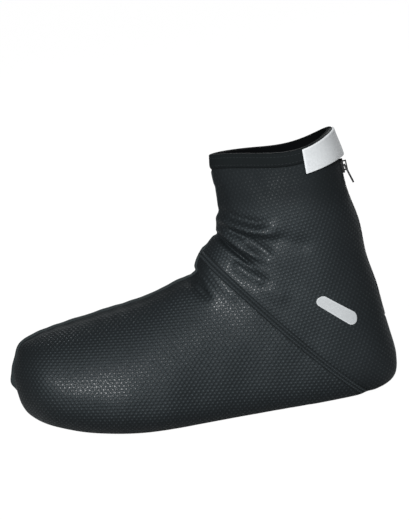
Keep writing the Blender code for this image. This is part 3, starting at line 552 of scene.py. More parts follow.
def tone_group() -> bpy.types.NodeTree:
    """Slow change of tone over the cloth."""
    group, g, given, put_out = new_group(
        "tone", "ShaderNodeTree",
        [("Vector", "NodeSocketVector", None), ("Scale", "NodeSocketFloat", 22.0),
         ("Strength", "NodeSocketFloat", 0.2)],
        [("Value", "NodeSocketFloat")])
    slow = g.noise(given.outputs["Vector"], given.outputs["Scale"], 3.0)
    swing = g.math("MULTIPLY", g.math("SUBTRACT", slow, 0.5), given.outputs["Strength"])
    g.put(put_out.inputs["Value"], g.math("ADD", swing, 1.0))
    return group


class Groups:
    """Shader node groups, each built once."""

    made: dict[str, bpy.types.NodeTree] = {}

    @classmethod
    def get(cls, builder: Callable[[], bpy.types.NodeTree]) -> bpy.types.NodeTree:
        """The group that a builder makes, built on first use."""
        if builder.__name__ not in cls.made:
            cls.made[builder.__name__] = builder()
        return cls.made[builder.__name__]


# Tint of the cloth's gloss.
COOL = (0.80, 0.94, 1.0, 1.0)


def principled(name: str, colour: tuple, roughness: float, metallic: float = 0.0) -> tuple:
    """Start a material with a Principled shader.

    Returns:
        The material, its Graph and the shader node.
    """
    made = bpy.data.materials.new(name)
    made.use_nodes = True
    shader = made.node_tree.nodes["Principled BSDF"]
    shader.inputs["Base Color"].default_value = (*colour, 1.0)
    shader.inputs["Roughness"].default_value = roughness
    shader.inputs["Metallic"].default_value = metallic
    return made, Graph(made.node_tree), shader


@dataclass(frozen=True)
class DottedCloth:
    """Stretch cloth with raised dots in staggered rows, read from the cloth's own flat pattern, its dots
    painted lighter as painted highlight and its low relief painted darker as painted shade.
    """

    name: str
    turn: float
    dark: tuple[float, float, float] = (0.0086, 0.0104, 0.0115)
    # Colour of the painted highlight on the raised dots and their cells.
    light: tuple[float, float, float] = (0.038, 0.045, 0.049)
    dot_height: float = 0.00018
    cell_height: float = 0.00026
    knit_height: float = 0.00003
    flecks: float = 0.45
    dotted: float = 1.0

    def build(self) -> bpy.types.Material:
        """Make the material."""
        made, g, shader = principled(self.name, self.dark, 0.5)
        uv = g.add("ShaderNodeUVMap", uv_map="cloth").outputs[0]
        turned = g.add("ShaderNodeMapping", {"Vector": uv, "Rotation": (0.0, 0.0, self.turn)}).outputs[0]
        lattice = g.group(dot_lattice_group, vector=turned)
        knit = g.group(knit_group, vector=turned)
        tone = g.group(tone_group, vector=g.add("ShaderNodeTexCoord").outputs["Object"])
        relief = g.value("relief")
        shown = g.math("MULTIPLY", relief, self.dotted)
        spark = g.math("ADD", g.math("MULTIPLY", lattice.outputs["Random"], 0.85), 0.25)
        dot = g.math("MULTIPLY", lattice.outputs["Dot"], shown)
        cell = g.math("MULTIPLY", lattice.outputs["Cell"], shown)
        # Painted highlight: the dots, brighter at random, and the middle of each cell are painted lighter,
        # standing in for light caught on the raised dots.
        paint = g.math("ADD", g.math("MULTIPLY", g.math("MULTIPLY", dot, spark), 0.30),
                       g.math("MULTIPLY", cell, 0.10))
        colour = g.mix(paint, (*self.dark, 1.0), (*self.light, 1.0))
        # Random slow tone times painted shade: the colour darkens where the relief is low, beside the ridge,
        # at the nose, on the upper shaft and at the heel.
        tone_and_painted_shade = g.math("MULTIPLY", tone.outputs["Value"], g.ease(relief, 0.15, 1.0, 0.55, 1.0))
        g.put(shader.inputs["Base Color"], g.mix(1.0, colour, tone_and_painted_shade, "MULTIPLY"))
        matte = g.ease(relief, 0.15, 1.0, 0.78, 0.56)
        g.put(shader.inputs["Roughness"], g.math("SUBTRACT", matte, g.math("MULTIPLY", dot, 0.14)))
        fleck = g.ease(g.noise(uv, 1100.0, 2.0), 0.50, 0.72)
        shine = g.math("MULTIPLY", dot, spark)
        glint = g.math("MULTIPLY", fleck, g.math("MULTIPLY", shown, self.flecks))
        g.put(shader.inputs["Coat Weight"], g.math("ADD", shine, glint))
        raised = g.math("ADD", g.math("MULTIPLY", dot, self.dot_height),
                        g.math("MULTIPLY", cell, self.cell_height))
        height = g.math("ADD", raised, g.math("MULTIPLY", knit.outputs["Value"], self.knit_height))
        g.dress(shader, height, coat_roughness=0.34, coat_tint=(0.90, 0.97, 1.0, 1.0),
                specular_ior_level=0.30, specular_tint=COOL, sheen_weight=0.02, sheen_roughness=0.45,
                sheen_tint=(0.75, 0.85, 0.92, 1.0))
        return made


@dataclass(frozen=True)
class PlainCloth:
    """Fine knit or woven cloth without dots: lining, seam cover, hem, sole panel and tape."""

    name: str
    colour: tuple[float, float, float]
    roughness: float = 0.75
    scale: float = 900.0
    height: float = 0.00005
    sheen: float = 0.02
    contrast: float = 0.35
    border_shade: float = 0.0
    specular: float = 0.22

    def build(self) -> bpy.types.Material:
        """Make the material."""
        made, g, shader = principled(self.name, self.colour, self.roughness)
        place = g.add("ShaderNodeTexCoord").outputs["Object"]
        knit = g.group(knit_group, vector=place, scale=self.scale, nap=0.45)
        tone = g.group(tone_group, vector=place, scale=30.0, strength=0.3)
        low = tuple(c * (1.0 - self.contrast) for c in self.colour)
        high = tuple(c * (1.0 + self.contrast) for c in self.colour)
        colour = g.mix(knit.outputs["Value"], (*low, 1.0), (*high, 1.0))
        # Painted shade: with border_shade set, the colour darkens where the mesh's border value is high, in
        # the seam cover's grooves.
        kept = g.math("SUBTRACT", 1.0, g.math("MULTIPLY", g.value("border"), self.border_shade))
        shade = g.math("MULTIPLY", tone.outputs["Value"], kept)
        g.put(shader.inputs["Base Color"], g.mix(1.0, colour, shade, "MULTIPLY"))
        g.dress(shader, g.math("MULTIPLY", knit.outputs["Value"], self.height), sheen_weight=self.sheen,
                specular_ior_level=self.specular, specular_tint=COOL, sheen_roughness=0.4)
        return made


@dataclass(frozen=True)
class Film:
    """Light grey reflective film: fine beads, a little gloss, and a paler pressed border."""

    name: str
    colour: tuple[float, float, float] = (0.66, 0.68, 0.69)

    def build(self) -> bpy.types.Material:
        """Make the material."""
        made, g, shader = principled(self.name, self.colour, 0.55)
        place = g.add("ShaderNodeTexCoord").outputs["Object"]
        beads = g.add("ShaderNodeTexVoronoi", {"Vector": place, "Scale": 2600.0})
        fine = g.noise(place, 700.0, 3.0)
        worn = (*(c * 0.95 for c in self.colour), 1.0)
        rim = (*(min(c * 1.16, 0.9) for c in self.colour), 1.0)
        body = g.mix(g.ease(fine, 0.35, 0.65), worn, (*self.colour, 1.0))
        g.put(shader.inputs["Base Color"], g.mix(g.value("border"), body, rim))
        g.put(shader.inputs["Roughness"], g.ease(fine, 0.3, 0.7, 0.5, 0.62))
        g.dress(shader, g.math("MULTIPLY", beads.outputs["Distance"], 0.00006), 0.5, specular_ior_level=0.4)
        return made


@dataclass(frozen=True)
class Painted:
    """Black painted metal or nylon with worn edges."""

    name: str
    colour: tuple[float, float, float] = (0.012, 0.012, 0.013)
    roughness: float = 0.32
    metallic: float = 0.6

    def build(self) -> bpy.types.Material:
        """Make the material."""
        made, g, shader = principled(self.name, self.colour, self.roughness, self.metallic)
        place = g.add("ShaderNodeTexCoord").outputs["Object"]
        fine = g.noise(place, 1500.0, 3.0)
        curve = g.add("ShaderNodeNewGeometry").outputs["Pointiness"]
        wear = g.math("MULTIPLY", g.ease(curve, 0.52, 0.60), g.ease(fine, 0.4, 0.6))
        worn = (*(c * 4.0 for c in self.colour), 1.0)
        g.put(shader.inputs["Base Color"], g.mix(wear, (*self.colour, 1.0), worn))
        rough = g.ease(fine, 0.3, 0.7, self.roughness * 0.8, self.roughness * 1.3)
        g.put(shader.inputs["Roughness"], rough)
        g.dress(shader, g.math("MULTIPLY", fine, 0.00003), 0.4)
        return made


class Finish(Enum):
    """Finishes of the overshoe: a material slot's name and how the finish is made."""

    FRONT_CLOTH = ("shell_fabric", DottedCloth("front_cloth", math.radians(7.0)))
    REAR_CLOTH = ("shell_fabric", DottedCloth("rear_cloth", math.radians(-6.0), dotted=0.85))
    LINING = ("shell_fabric", PlainCloth("lining", (0.0022, 0.0023, 0.0026), 0.9, 700.0, 0.00006, 0.0,
                                         specular=0.08))
    HEM = ("shell_fabric", PlainCloth("hem_cloth", (0.0064, 0.0077, 0.0081), 0.75, 1000.0, 0.00006,
                                      specular=0.15))
    # The binding's colour is lighter than the cloth: partly its own tone, partly painted sheen along the
    # ridge line.
    RIDGE = ("seam_thread", PlainCloth("ridge_binding_sheen", (0.024, 0.029, 0.030), 0.7, 1100.0, 0.00006, 0.05))
    SEAM_TAPE = ("seam_thread", PlainCloth("seam_cover", (0.0225, 0.0268, 0.0290), 0.7, 1100.0, 0.00006,
                                           border_shade=0.85))
    THREAD = ("seam_thread", PlainCloth("thread", (0.044, 0.052, 0.056), 0.55, 2400.0, 0.00002, 0.02))
    DARK_THREAD = ("seam_thread", PlainCloth("dark_thread", (0.019, 0.022, 0.023), 0.6, 2400.0, 0.00002))
    SOLE = ("sole_fabric", PlainCloth("sole_cloth", (0.010, 0.011, 0.012), 0.68, 620.0, 0.00012))
    TAPE = ("zip_tape", PlainCloth("tape_weave", (0.008, 0.008, 0.009), 0.8, 1300.0, 0.00007))
    COIL = ("zip_coil", Painted("coil_nylon", (0.011, 0.011, 0.012), 0.38, 0.0))
    METAL = ("slider_metal", Painted("slider_paint", (0.007, 0.007, 0.008), 0.36, 0.15))
    FILM = ("reflective_tab", Film("reflective_film"))
    BAR_FILM = ("reflective_tab", Film("reflective_print", (0.50, 0.52, 0.53)))

    @property
    def slot(self) -> str:
        """Name of the finish's material slot."""
        return self.value[0]

    def material(self) -> bpy.types.Material:
        """The material, built on first use."""
        recipe = self.value[1]
        return bpy.data.materials.get(recipe.name) or recipe.build()


def new_object(name: str, verts: Iterable, faces: Iterable, uvs: Grid | None = None) -> bpy.types.Object:
    """Make a linked mesh object.

    Args:
        name: Name of the piece.
        verts: Points of the mesh.
        faces: Tuples of point numbers.
        uvs: Flat cloth coordinates of each point, or None.

    Returns:
        The new object.
    """
    mesh = bpy.data.meshes.new(name)
    mesh.from_pydata([tuple(v) for v in verts], [], faces)
    if uvs is not None:
        layer = mesh.uv_layers.new(name="cloth")
        corner = np.zeros(len(mesh.loops), dtype=np.int32)
        mesh.loops.foreach_get("vertex_index", corner)
        layer.data.foreach_set("uv", uvs[corner].astype(np.float32).ravel())
    return link(name, mesh)


def link(name: str, data: bpy.types.ID) -> bpy.types.Object:
    """Put a mesh, a light or a camera into the scene."""
    obj = bpy.data.objects.new(name, data)
    bpy.context.scene.collection.objects.link(obj)
    return obj


def shade(obj: bpy.types.Object, sharp: float) -> None:
    """Shade smoothly, with edges sharp past an angle in degrees."""
    obj.data.shade_smooth()
    obj.data.set_sharp_from_angle(angle=math.radians(sharp))


def tidy(obj: bpy.types.Object, merge: float = 1e-6, sharp: float = 50.0, turn_out: bool = False) -> None:
    """Merge doubles, drop flat faces, turn a closed skin's faces outwards if asked, and shade."""
    bm = bmesh.new()
    bm.from_mesh(obj.data)
    bmesh.ops.remove_doubles(bm, verts=bm.verts, dist=merge)
    bmesh.ops.dissolve_degenerate(bm, edges=bm.edges, dist=merge)
    if turn_out:
        bmesh.ops.recalc_face_normals(bm, faces=bm.faces)
    bm.to_mesh(obj.data)
    bm.free()
    shade(obj, sharp)


def settle(obj: bpy.types.Object) -> None:
    """Turn an object's modifiers into a plain mesh, and remove them."""
    depsgraph = bpy.context.evaluated_depsgraph_get()
    made = bpy.data.meshes.new_from_object(obj.evaluated_get(depsgraph), depsgraph=depsgraph)
    obj.modifiers.clear()
    old = obj.data
    obj.data = made
    made.name = obj.name
    bpy.data.meshes.remove(old)


def set_value(obj: bpy.types.Object, name: str, values: Grid) -> None:
    """Store a number for each point of a mesh."""
    layer = obj.data.attributes.new(name, "FLOAT", "POINT")
    layer.data.foreach_set("value", np.asarray(values, dtype=np.float32).ravel())


def finish(obj: bpy.types.Object, look: Finish, nodes: Sequence[str] = (), body: Body = Body.SHOE) -> None:
    """Dress a piece, let it ride, hide the solids that it stands for, and log it."""
    if not obj.data.materials:
        obj.data.materials.append(look.material())
    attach(obj, body.value)
    if nodes:
        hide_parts(*nodes)
    triangles = sum(len(p.vertices) - 2 for p in obj.data.polygons)
    LOG.info("%s: %d triangles, %s, rides on %s", obj.name, triangles, look.name.lower(), body.value)


def closed_strip(name: str, top: Grid, bottom: Grid, border: Grid | None = None) -> bpy.types.Object:
    """Closed solid between two grids of points that share their outline.

    Args:
        name: Name of the piece.
        top: Outer face, rows by columns by three.
        bottom: Inner face of the same shape.
        border: Number for each point of a face, kept as the attribute "border", or None.

    Returns:
        The new object.
    """
    rows, columns = top.shape[:2]
    index = np.arange(rows * columns).reshape(rows, columns)
    low = index + rows * columns
    faces = []
    for i in range(rows - 1):
        for j in range(columns - 1):
            faces.append((index[i, j], index[i, j + 1], index[i + 1, j + 1], index[i + 1, j]))
            faces.append((low[i, j], low[i + 1, j], low[i + 1, j + 1], low[i, j + 1]))
    ring = list(index[0, :]) + list(index[1:, -1]) + list(index[-1, -2::-1]) + list(index[-2:0:-1, 0])
    for a, b in zip(ring, ring[1:] + ring[:1]):
        faces.append((b, a, a + rows * columns, b + rows * columns))
    points = np.concatenate((top.reshape(-1, 3), bottom.reshape(-1, 3)))
    obj = new_object(name, points, [tuple(int(v) for v in f) for f in faces])
    if border is not None:
        set_value(obj, "border", np.concatenate((border.ravel(), border.ravel())))
    tidy(obj, sharp=60.0, turn_out=True)
    return obj


class ThreadTree:
    """Geometry Nodes tree that lays a row of short thread stitches, or links, along a path."""

    def __init__(self) -> None:
        """Build the tree with named inputs."""
        self.group, g, given, put_out = new_group(
            "stitch_row", "GeometryNodeTree",
            [("Geometry", "NodeSocketGeometry", None), ("Pitch", "NodeSocketFloat", 0.0024),
             ("Length", "NodeSocketFloat", 0.0018), ("Width", "NodeSocketFloat", 0.0005),
             ("Height", "NodeSocketFloat", 0.0004), ("Turn", "NodeSocketFloat", 0.0),
             ("Material", "NodeSocketMaterial", None)],
            [("Geometry", "NodeSocketGeometry")])
        line = g.add("GeometryNodeMeshToCurve", {"Mesh": given.outputs["Geometry"]})
        points = g.add("GeometryNodeCurveToPoints",
                       {"Curve": line.outputs[0], "Length": given.outputs["Pitch"]}, mode="LENGTH")
        bead = g.add("GeometryNodeMeshUVSphere", {"Segments": 8, "Rings": 6, "Radius": 0.5})
        size = g.add("ShaderNodeCombineXYZ", {0: given.outputs["Height"], 1: given.outputs["Width"],
                                              2: given.outputs["Length"]})
        shaped = g.add("GeometryNodeTransform", {"Geometry": bead.outputs[0], "Scale": size.outputs[0]})
        turn = g.add("ShaderNodeCombineXYZ", {0: given.outputs["Turn"]})
        spun = g.add("GeometryNodeTransform", {"Geometry": shaped.outputs[0], "Rotation": turn.outputs[0]})
        up = g.add("GeometryNodeInputNamedAttribute", {"Name": "up"}, data_type="FLOAT_VECTOR")
        aim = g.add("FunctionNodeAxesToRotation", {"Primary Axis": points.outputs["Tangent"],
                                                   "Secondary Axis": up.outputs[0]},
                    primary_axis="Z", secondary_axis="X")
        laid = g.add("GeometryNodeInstanceOnPoints", {"Points": points.outputs["Points"],
                                                      "Instance": spun.outputs[0],
                                                      "Rotation": aim.outputs[0]})
        real = g.add("GeometryNodeRealizeInstances", {0: laid.outputs[0]})
        painted = g.add("GeometryNodeSetMaterial", {"Geometry": real.outputs[0],
                                                    "Material": given.outputs["Material"]})
        g.put(put_out.inputs[0], painted.outputs[0])

    def sew(self, name: str, lines: Sequence[tuple[Grid, Grid]], look: Finish, nodes: Sequence[str] = (),
            **sizes: float) -> None:
        """Lay stitches along lines, as one finished piece.

        Args:
            name: Name of the piece.
            lines: Points of each line and the outward direction at each point.
            look: Finish of the thread.
            nodes: Solids that the piece stands for.
            **sizes: Values of the tree's inputs by name.
        """
        points = np.concatenate([line for line, _ in lines])
        ups = np.concatenate([up for _, up in lines])
        edges, start = [], 0
        for line, _ in lines:
            edges += [(start + k, start + k + 1) for k in range(len(line) - 1)]
            start += len(line)
        mesh = bpy.data.meshes.new(name)
        mesh.from_pydata([tuple(p) for p in points], edges, [])
        layer = mesh.attributes.new("up", "FLOAT_VECTOR", "POINT")
        layer.data.foreach_set("vector", ups.astype(np.float32).ravel())
        obj = link(name, mesh)
        modifier = obj.modifiers.new("stitches", "NODES")
        modifier.node_group = self.group
        names = {item.name: item.identifier for item in self.group.interface.items_tree
                 if item.in_out == "INPUT"}
        for label, value in sizes.items():
            modifier[names[label.replace("_", " ").title()]] = value
        modifier[names["Material"]] = look.material()
        settle(obj)
        obj.data.shade_smooth()
        finish(obj, look, nodes)


@dataclass
class Upper:
    """Front and rear panel of the upper, each a closed wall of stretch cloth.

    The relief is how clearly the cloth's dots stand out: less where the cloth is taut, at the seam over the
    foot, on the shaft and at the heel, and the cloth's colour is painted darker there as painted shade. A
    fade is where it starts and over what length it grows.
    """

    shell: Shell
    step: float = 0.00125
    across: int = 92
    seam_gap: float = 0.004
    rim_gap: float = 0.05
    ridge_fade: tuple[float, float] = (0.02, 0.14)
    toe_fade: tuple[float, float] = (-0.143, 0.03)
    shaft_fade: tuple[float, float] = (0.137, 0.028)
    heel_fade: tuple[float, float] = (0.068, 0.05)
    taut_relief: float = 0.20
    toe_relief: float = 0.35
    shaft_loss: float = 0.62
    heel_loss: float = 0.30

    def loops(self, first: float, last: float) -> Grid:
        """Places of the loops, an even step apart where they are furthest from each other."""
        places = np.linspace(first, last, 1201)
        speed = np.zeros(len(places) - 1)
        for share in (-1.0, -0.6, 0.0, 0.6):
            line = self.shell.base(places, np.full(places.shape, share))
            speed = np.maximum(speed, np.linalg.norm(np.diff(line, axis=0), axis=1))
        lengths = np.concatenate(([0.0], np.cumsum(speed)))
        count = int(lengths[-1] / self.step) + 1
        return np.interp(np.linspace(0.0, lengths[-1], count), lengths, places)

    def half(self, places: Grid, inner: bool) -> tuple[Grid, Grid, Grid]:
        """Points, flat cloth coordinates and relief of one half panel.

        Args:
            places: Loops from the toe towards the collar.
            inner: True for the inner side of the foot.

        Returns:
            Points, coordinates and relief, rows by columns.
        """
        ends = np.array([self.shell.end_share(p, inner) for p in places])
        steps = np.linspace(0.0, 1.0, self.across + 1)
        share = ends[:, None] * steps[None, :]
        place = self.shell.bowed(places[:, None], share)
        signed = share if inner else -share
        points = self.shell.skin(place, signed)
        middle = self.across // 2
        line = points[:, middle]
        run = np.diff(line, axis=0)
        flat_run = run[:, [0, 2]]
        scale = np.linalg.norm(run, axis=1) / np.maximum(np.linalg.norm(flat_run, axis=1), 1e-9)
        travelled = np.concatenate((np.zeros((1, 2)), np.cumsum(flat_run * scale[:, None], axis=0)))
        anchor = int(np.argmin(np.abs(places - np.clip(BALL, places[0], places[-1]))))
        travelled += line[anchor, [0, 2]] - travelled[anchor]
        section = self.shell.section(places)
        down = section[:, [2, 3]] - section[:, [0, 1]]
        down /= np.maximum(np.linalg.norm(down, axis=1, keepdims=True), 1e-6)
        down[0] = down[1]
        arcs = arc_lengths(points, 1)
        arcs -= arcs[:, [middle]]
        coords = travelled[:, None, :] + down[:, None, :] * arcs[..., None]
        ridge = smooth((share - self.ridge_fade[0]) / self.ridge_fade[1])
        toe = smooth((points[..., 0] - self.toe_fade[0]) / self.toe_fade[1])
        shaft = smooth((points[..., 2] - self.shaft_fade[0]) / self.shaft_fade[1])
        heel = smooth((points[..., 0] - self.heel_fade[0]) / self.heel_fade[1])
        loose = ridge * (self.toe_relief + (1.0 - self.toe_relief) * toe)
        foot = self.taut_relief + (1.0 - self.taut_relief) * loose
        rear = (1.0 - self.shaft_loss * shaft) * (1.0 - self.heel_loss * heel)
        return points, coords, np.where((places < SEAM)[:, None], foot, rear)

    def panel(self, name: str, first: float, last: float, look: Finish) -> None:
        """One panel between two places of the loft, with its wall."""
        places = self.loops(first, last)
        points, coords, relief, faces, start = [], [], [], [], 0
        for inner in (False, True):
            grid, flat, value = self.half(places, inner)
            rows, columns = grid.shape[:2]
            index = start + np.arange(rows * columns).reshape(rows, columns)
            quads = np.stack((index[:-1, :-1], index[:-1, 1:], index[1:, 1:], index[1:, :-1]), axis=-1)
            quads = quads.reshape(-1, 4)
            faces.append(quads[:, ::-1] if inner else quads)
            points.append(grid.reshape(-1, 3))
            coords.append(flat.reshape(-1, 2))
            relief.append(value.ravel())
            start += rows * columns
        faces = np.concatenate(faces).tolist()
        obj = new_object(name, np.concatenate(points), faces, np.concatenate(coords))
        set_value(obj, "relief", np.concatenate(relief))
        tidy(obj)
        obj.data.materials.append(look.material())
        obj.data.materials.append(Finish.LINING.material())
        wall = obj.modifiers.new("wall", "SOLIDIFY")
        wall.thickness = self.shell.sizes.wall
        wall.offset = -1.0
        wall.material_offset = 1
        wall.material_offset_rim = 0
        settle(obj)
        shade(obj, 55.0)
        finish(obj, look, ["upper"])

    def build(self) -> None:
        """Build both panels."""
        self.panel("upper_front_panel", 0.0, SEAM - self.seam_gap, Finish.FRONT_CLOTH)
        self.panel("upper_rear_panel", SEAM + self.seam_gap, LAST - self.rim_gap, Finish.REAR_CLOTH)


@dataclass
class Seams:
    """Sewn ridge, rear flat seam, collar hem and all their stitches."""

    shell: Shell
    threads: ThreadTree
    ridge_width: float = 0.0032
    ridge_height: float = 0.0021
    ridge_root: float = 0.0006
    nub_height: float = 0.0018
    nub_length: float = 0.009
    seam_width: float = 0.0060
    seam_height: float = 0.0013
    seam_start: float = 0.035
    seam_foot: float = -0.0035
    hem_height: float = 0.0102
    hem_thickness: float = 0.0010
    hem_roll: float = 0.0012
    hem_rows: tuple[float, float] = (0.0022, 0.0078)
    shaft_points: int = 180
    SIDE_STEP = 0.02

    def ridge_strip(self, name: str, places: Grid, shares: Grid, rise: Grid, nodes: Sequence[str]) -> None:
        """Rolled binding along the centre line."""
        centre = self.shell.skin(places, shares)
        normal = self.shell.normal(places, shares)
        turns = np.linspace(0.0, math.pi, 13)
        run = arc_lengths(centre) / MM
        wobble = 1.0 + 0.10 * np.sin(run / 3.1) * np.sin(run / 11.0 + 0.7)
        side = -np.cos(turns) * 0.5 * self.ridge_width
        straight = centre[:, None, :] + side[None, :, None] * SIDEWAYS
        ahead = self.shell.base(places, np.full(places.shape, self.SIDE_STEP))
        per_share = np.linalg.norm(ahead - self.shell.base(places, 0.0 * places), axis=-1) / self.SIDE_STEP
        over = np.clip(side[None, :] / np.maximum(per_share, 1e-4)[:, None], -0.2, 0.2)
        follow = self.shell.skin(places[:, None], over)
        share_of = (smooth((places - 0.2) / 0.8) * (np.abs(shares) < 0.5))[:, None, None]
        bed = straight + (follow - straight) * share_of
        height = (rise * wobble)[:, None] * np.sin(turns)[None, :] ** 0.8
        top = bed + normal[:, None, :] * (height - self.ridge_root)[..., None]
        low = bed - normal[:, None, :] * (self.ridge_root + 0.0002)
        finish(closed_strip(name, top, low), Finish.RIDGE, nodes)

    def build_ridge(self) -> None:
        """Raised seam from the ankle over the foot to the pinched nub at the nose."""
        under = np.linspace(1.30, 0.04, 26)
        over = np.concatenate((np.linspace(0.02, 1.0, 30), np.linspace(1.0, SEAM - 0.25, 320)[1:]))
        places = np.concatenate((under, over))
        shares = np.concatenate((np.full(len(under), -1.0), np.zeros(len(over))))
        nose = self.shell.skin(np.array(0.02), np.array(0.0))
        away = np.linalg.norm(self.shell.skin(places, shares) - nose, axis=-1)
        rise = self.ridge_height + self.nub_height * np.exp(-((away / (0.5 * self.nub_length)) ** 2))
        rise *= smooth(np.arange(len(places)) / 20.0)
        self.ridge_strip("front_ridge_seam", places, shares, rise, ["vamp_seam"])
        count = np.arange(self.shaft_points)
        high = np.linspace(SEAM - 0.6, float(self.shell.depth_place(0.0, self.hem_height)), len(count))
        ends = np.minimum(count, count[::-1]) / 5.0
        rise = (0.6 + 0.5 * smooth((SEAM + 1.4 - high) / 0.9)) * self.ridge_height * smooth(ends + 0.1)
        self.ridge_strip("shaft_ridge_seam", high, 0.0 * high, rise, [])

    def rear_line(self, share: Grid, offset: Grid | float, lift: float) -> tuple[Grid, Grid]:
        """Points beside the rear seam's centre line and the normals there."""
        place = self.shell.bowed(np.full(share.shape, SEAM), share)
        stretch = np.linalg.norm(self.shell.per_row(place, share), axis=-1)
        at = place + np.clip(offset / np.maximum(stretch, 1e-6), -0.5, 0.5)
        return self.shell.skin(at, share, lift), self.shell.normal(at, share)

    def build_rear(self) -> None:
        """Flat seam between the panels: a cover with two welts, three rows and two ladders of stitches."""
        ends = []
        for inner in (False, True):
            shares = np.linspace(0.3, 1.0, 300)
            line, _ = self.rear_line(shares if inner else -shares, 0.0, 0.0)
            ends.append(float(np.interp(self.seam_foot, -line[:, 2], shares)))
        share = np.linspace(-ends[0], ends[1], 420)
        across = np.linspace(-1.0, 1.0, 21)
        columns, bottoms = [], []
        for k in across:
            welts = 0.20 + 0.80 * math.sin(math.pi * min(abs(k) / 0.9, 1.0)) ** 2
            profile = 0.0002 + self.seam_height * (1.0 - abs(k) ** 6) * welts
            columns.append(self.rear_line(share, k * 0.5 * self.seam_width, profile)[0])
            bottoms.append(self.rear_line(share, k * 0.5 * self.seam_width, 0.0001)[0])
        # Painted shade: the border value marks the cover's two outer edges and the groove between its welts,
        # where the cover is painted darker.
        edge = np.maximum(smooth((np.abs(across) - 0.74) / 0.16), smooth((0.16 - np.abs(across)) / 0.10))
        border = np.broadcast_to(edge[None, :], (len(share), len(across)))
        obj = closed_strip("rear_flat_seam", np.stack(columns, axis=1), np.stack(bottoms, axis=1), border)
        finish(obj, Finish.SEAM_TAPE, ["rear_seam"])
        halves = (np.linspace(-ends[0], -self.seam_start, 220), np.linspace(self.seam_start, ends[1], 220))

        def rows(offsets: Sequence[float], lift: float) -> list[tuple[Grid, Grid]]:
            """Lines on both sides of the shoe, at offsets in half widths of the seam."""
            return [self.rear_line(half, k * 0.5 * self.seam_width, lift) for k in offsets for half in halves]

        self.threads.sew("rear_seam_stitches", rows((-1.02, 0.0, 1.02), 0.0004), Finish.DARK_THREAD,
                         pitch=0.0030, length=0.0021, width=0.0005, height=0.0004)
        self.threads.sew("rear_seam_cross_stitches", rows((-0.45, 0.45), self.seam_height + 0.0001),
                         Finish.THREAD, pitch=0.0022, length=0.0016, width=0.0004, height=0.0003,
                         turn=math.radians(72.0))

    def rim_shares(self, count: int, inset: float) -> Grid:
        """Signed shares round the collar, from one side of the zip to the other."""
        width = 0.5 * self.shell.sizes.zip_slot + inset
        outer = self.shell.share_at_width(LAST, False, width)
        inner = self.shell.share_at_width(LAST, True, width)
        return np.linspace(-outer, inner, count)

    def build_hem(self) -> None:
        """Turned hem that rolls over the collar's rim and covers the wall on both faces."""
        share = self.rim_shares(300, self.shell.sizes.seat_gap)
        thick = self.hem_thickness
        wall = self.shell.sizes.wall
        depth = np.linspace(self.hem_height, 0.0, 14)
        place = self.shell.depth_place(share[::10, None], depth[None, :])
        place = np.stack([np.interp(share, share[::10], place[:, k]) for k in range(len(depth))], axis=1)
        edge = 0.00025 + thick * (1.0 - np.linspace(1.0, 0.0, 14) ** 10)
        wide = np.broadcast_to(share[:, None], place.shape)
        outside = self.shell.skin(place, wide, edge[None, :])
        outer_rim = outside[:, -1]
        inside = self.shell.skin(place, wide, (-wall - edge)[None, :])[:, ::-1]
        inner_rim = inside[:, 0]
        middle, reach = 0.5 * (outer_rim + inner_rim), 0.5 * (outer_rim - inner_rim)
        turns = np.linspace(0.0, math.pi, 9)[1:-1]
        roll = (middle[:, None] + reach[:, None] * np.cos(turns)[None, :, None]
                + UPWARD * np.sin(turns)[None, :, None] * self.hem_roll)
        top = np.concatenate((outside, roll, inside), axis=1)
        cover_out = self.shell.skin(place, wide, 0.0001)
        cover_in = self.shell.skin(place, wide, -wall - 0.0001)[:, ::-1]
        low_rim = 0.5 * (cover_out[:, -1] + cover_in[:, 0])[:, None] + UPWARD * 0.0001
        bottom = np.concatenate((cover_out, np.repeat(low_rim, len(turns), axis=1), cover_in), axis=1)
        obj = closed_strip("collar_hem_band", top, bottom)
        obj.data.materials.append(Finish.HEM.material())
        obj.data.materials.append(Finish.LINING.material())
        axis = Vector(outside.reshape(-1, 3).mean(axis=0))
        for face in obj.data.polygons:
            away = (face.center - axis) * Vector((1.0, 1.0, 0.0))
            face.material_index = int(face.normal.dot(away) < 0.0)
        finish(obj, Finish.HEM, ["collar_hem"])
        rows = []
        for depth_at in self.hem_rows:
            at = np.interp(share, share[::10], self.shell.depth_place(share[::10], depth_at))
            rows.append((self.shell.skin(at, share, thick + 0.0002), self.shell.normal(at, share)))
        self.threads.sew("hem_stitches", rows, Finish.DARK_THREAD, pitch=0.0027, length=0.0020, width=0.00045,
                         height=0.00035)

    def build(self) -> None:
        """Build every seam."""
        self.build_ridge()
        self.build_rear()
        self.build_hem()


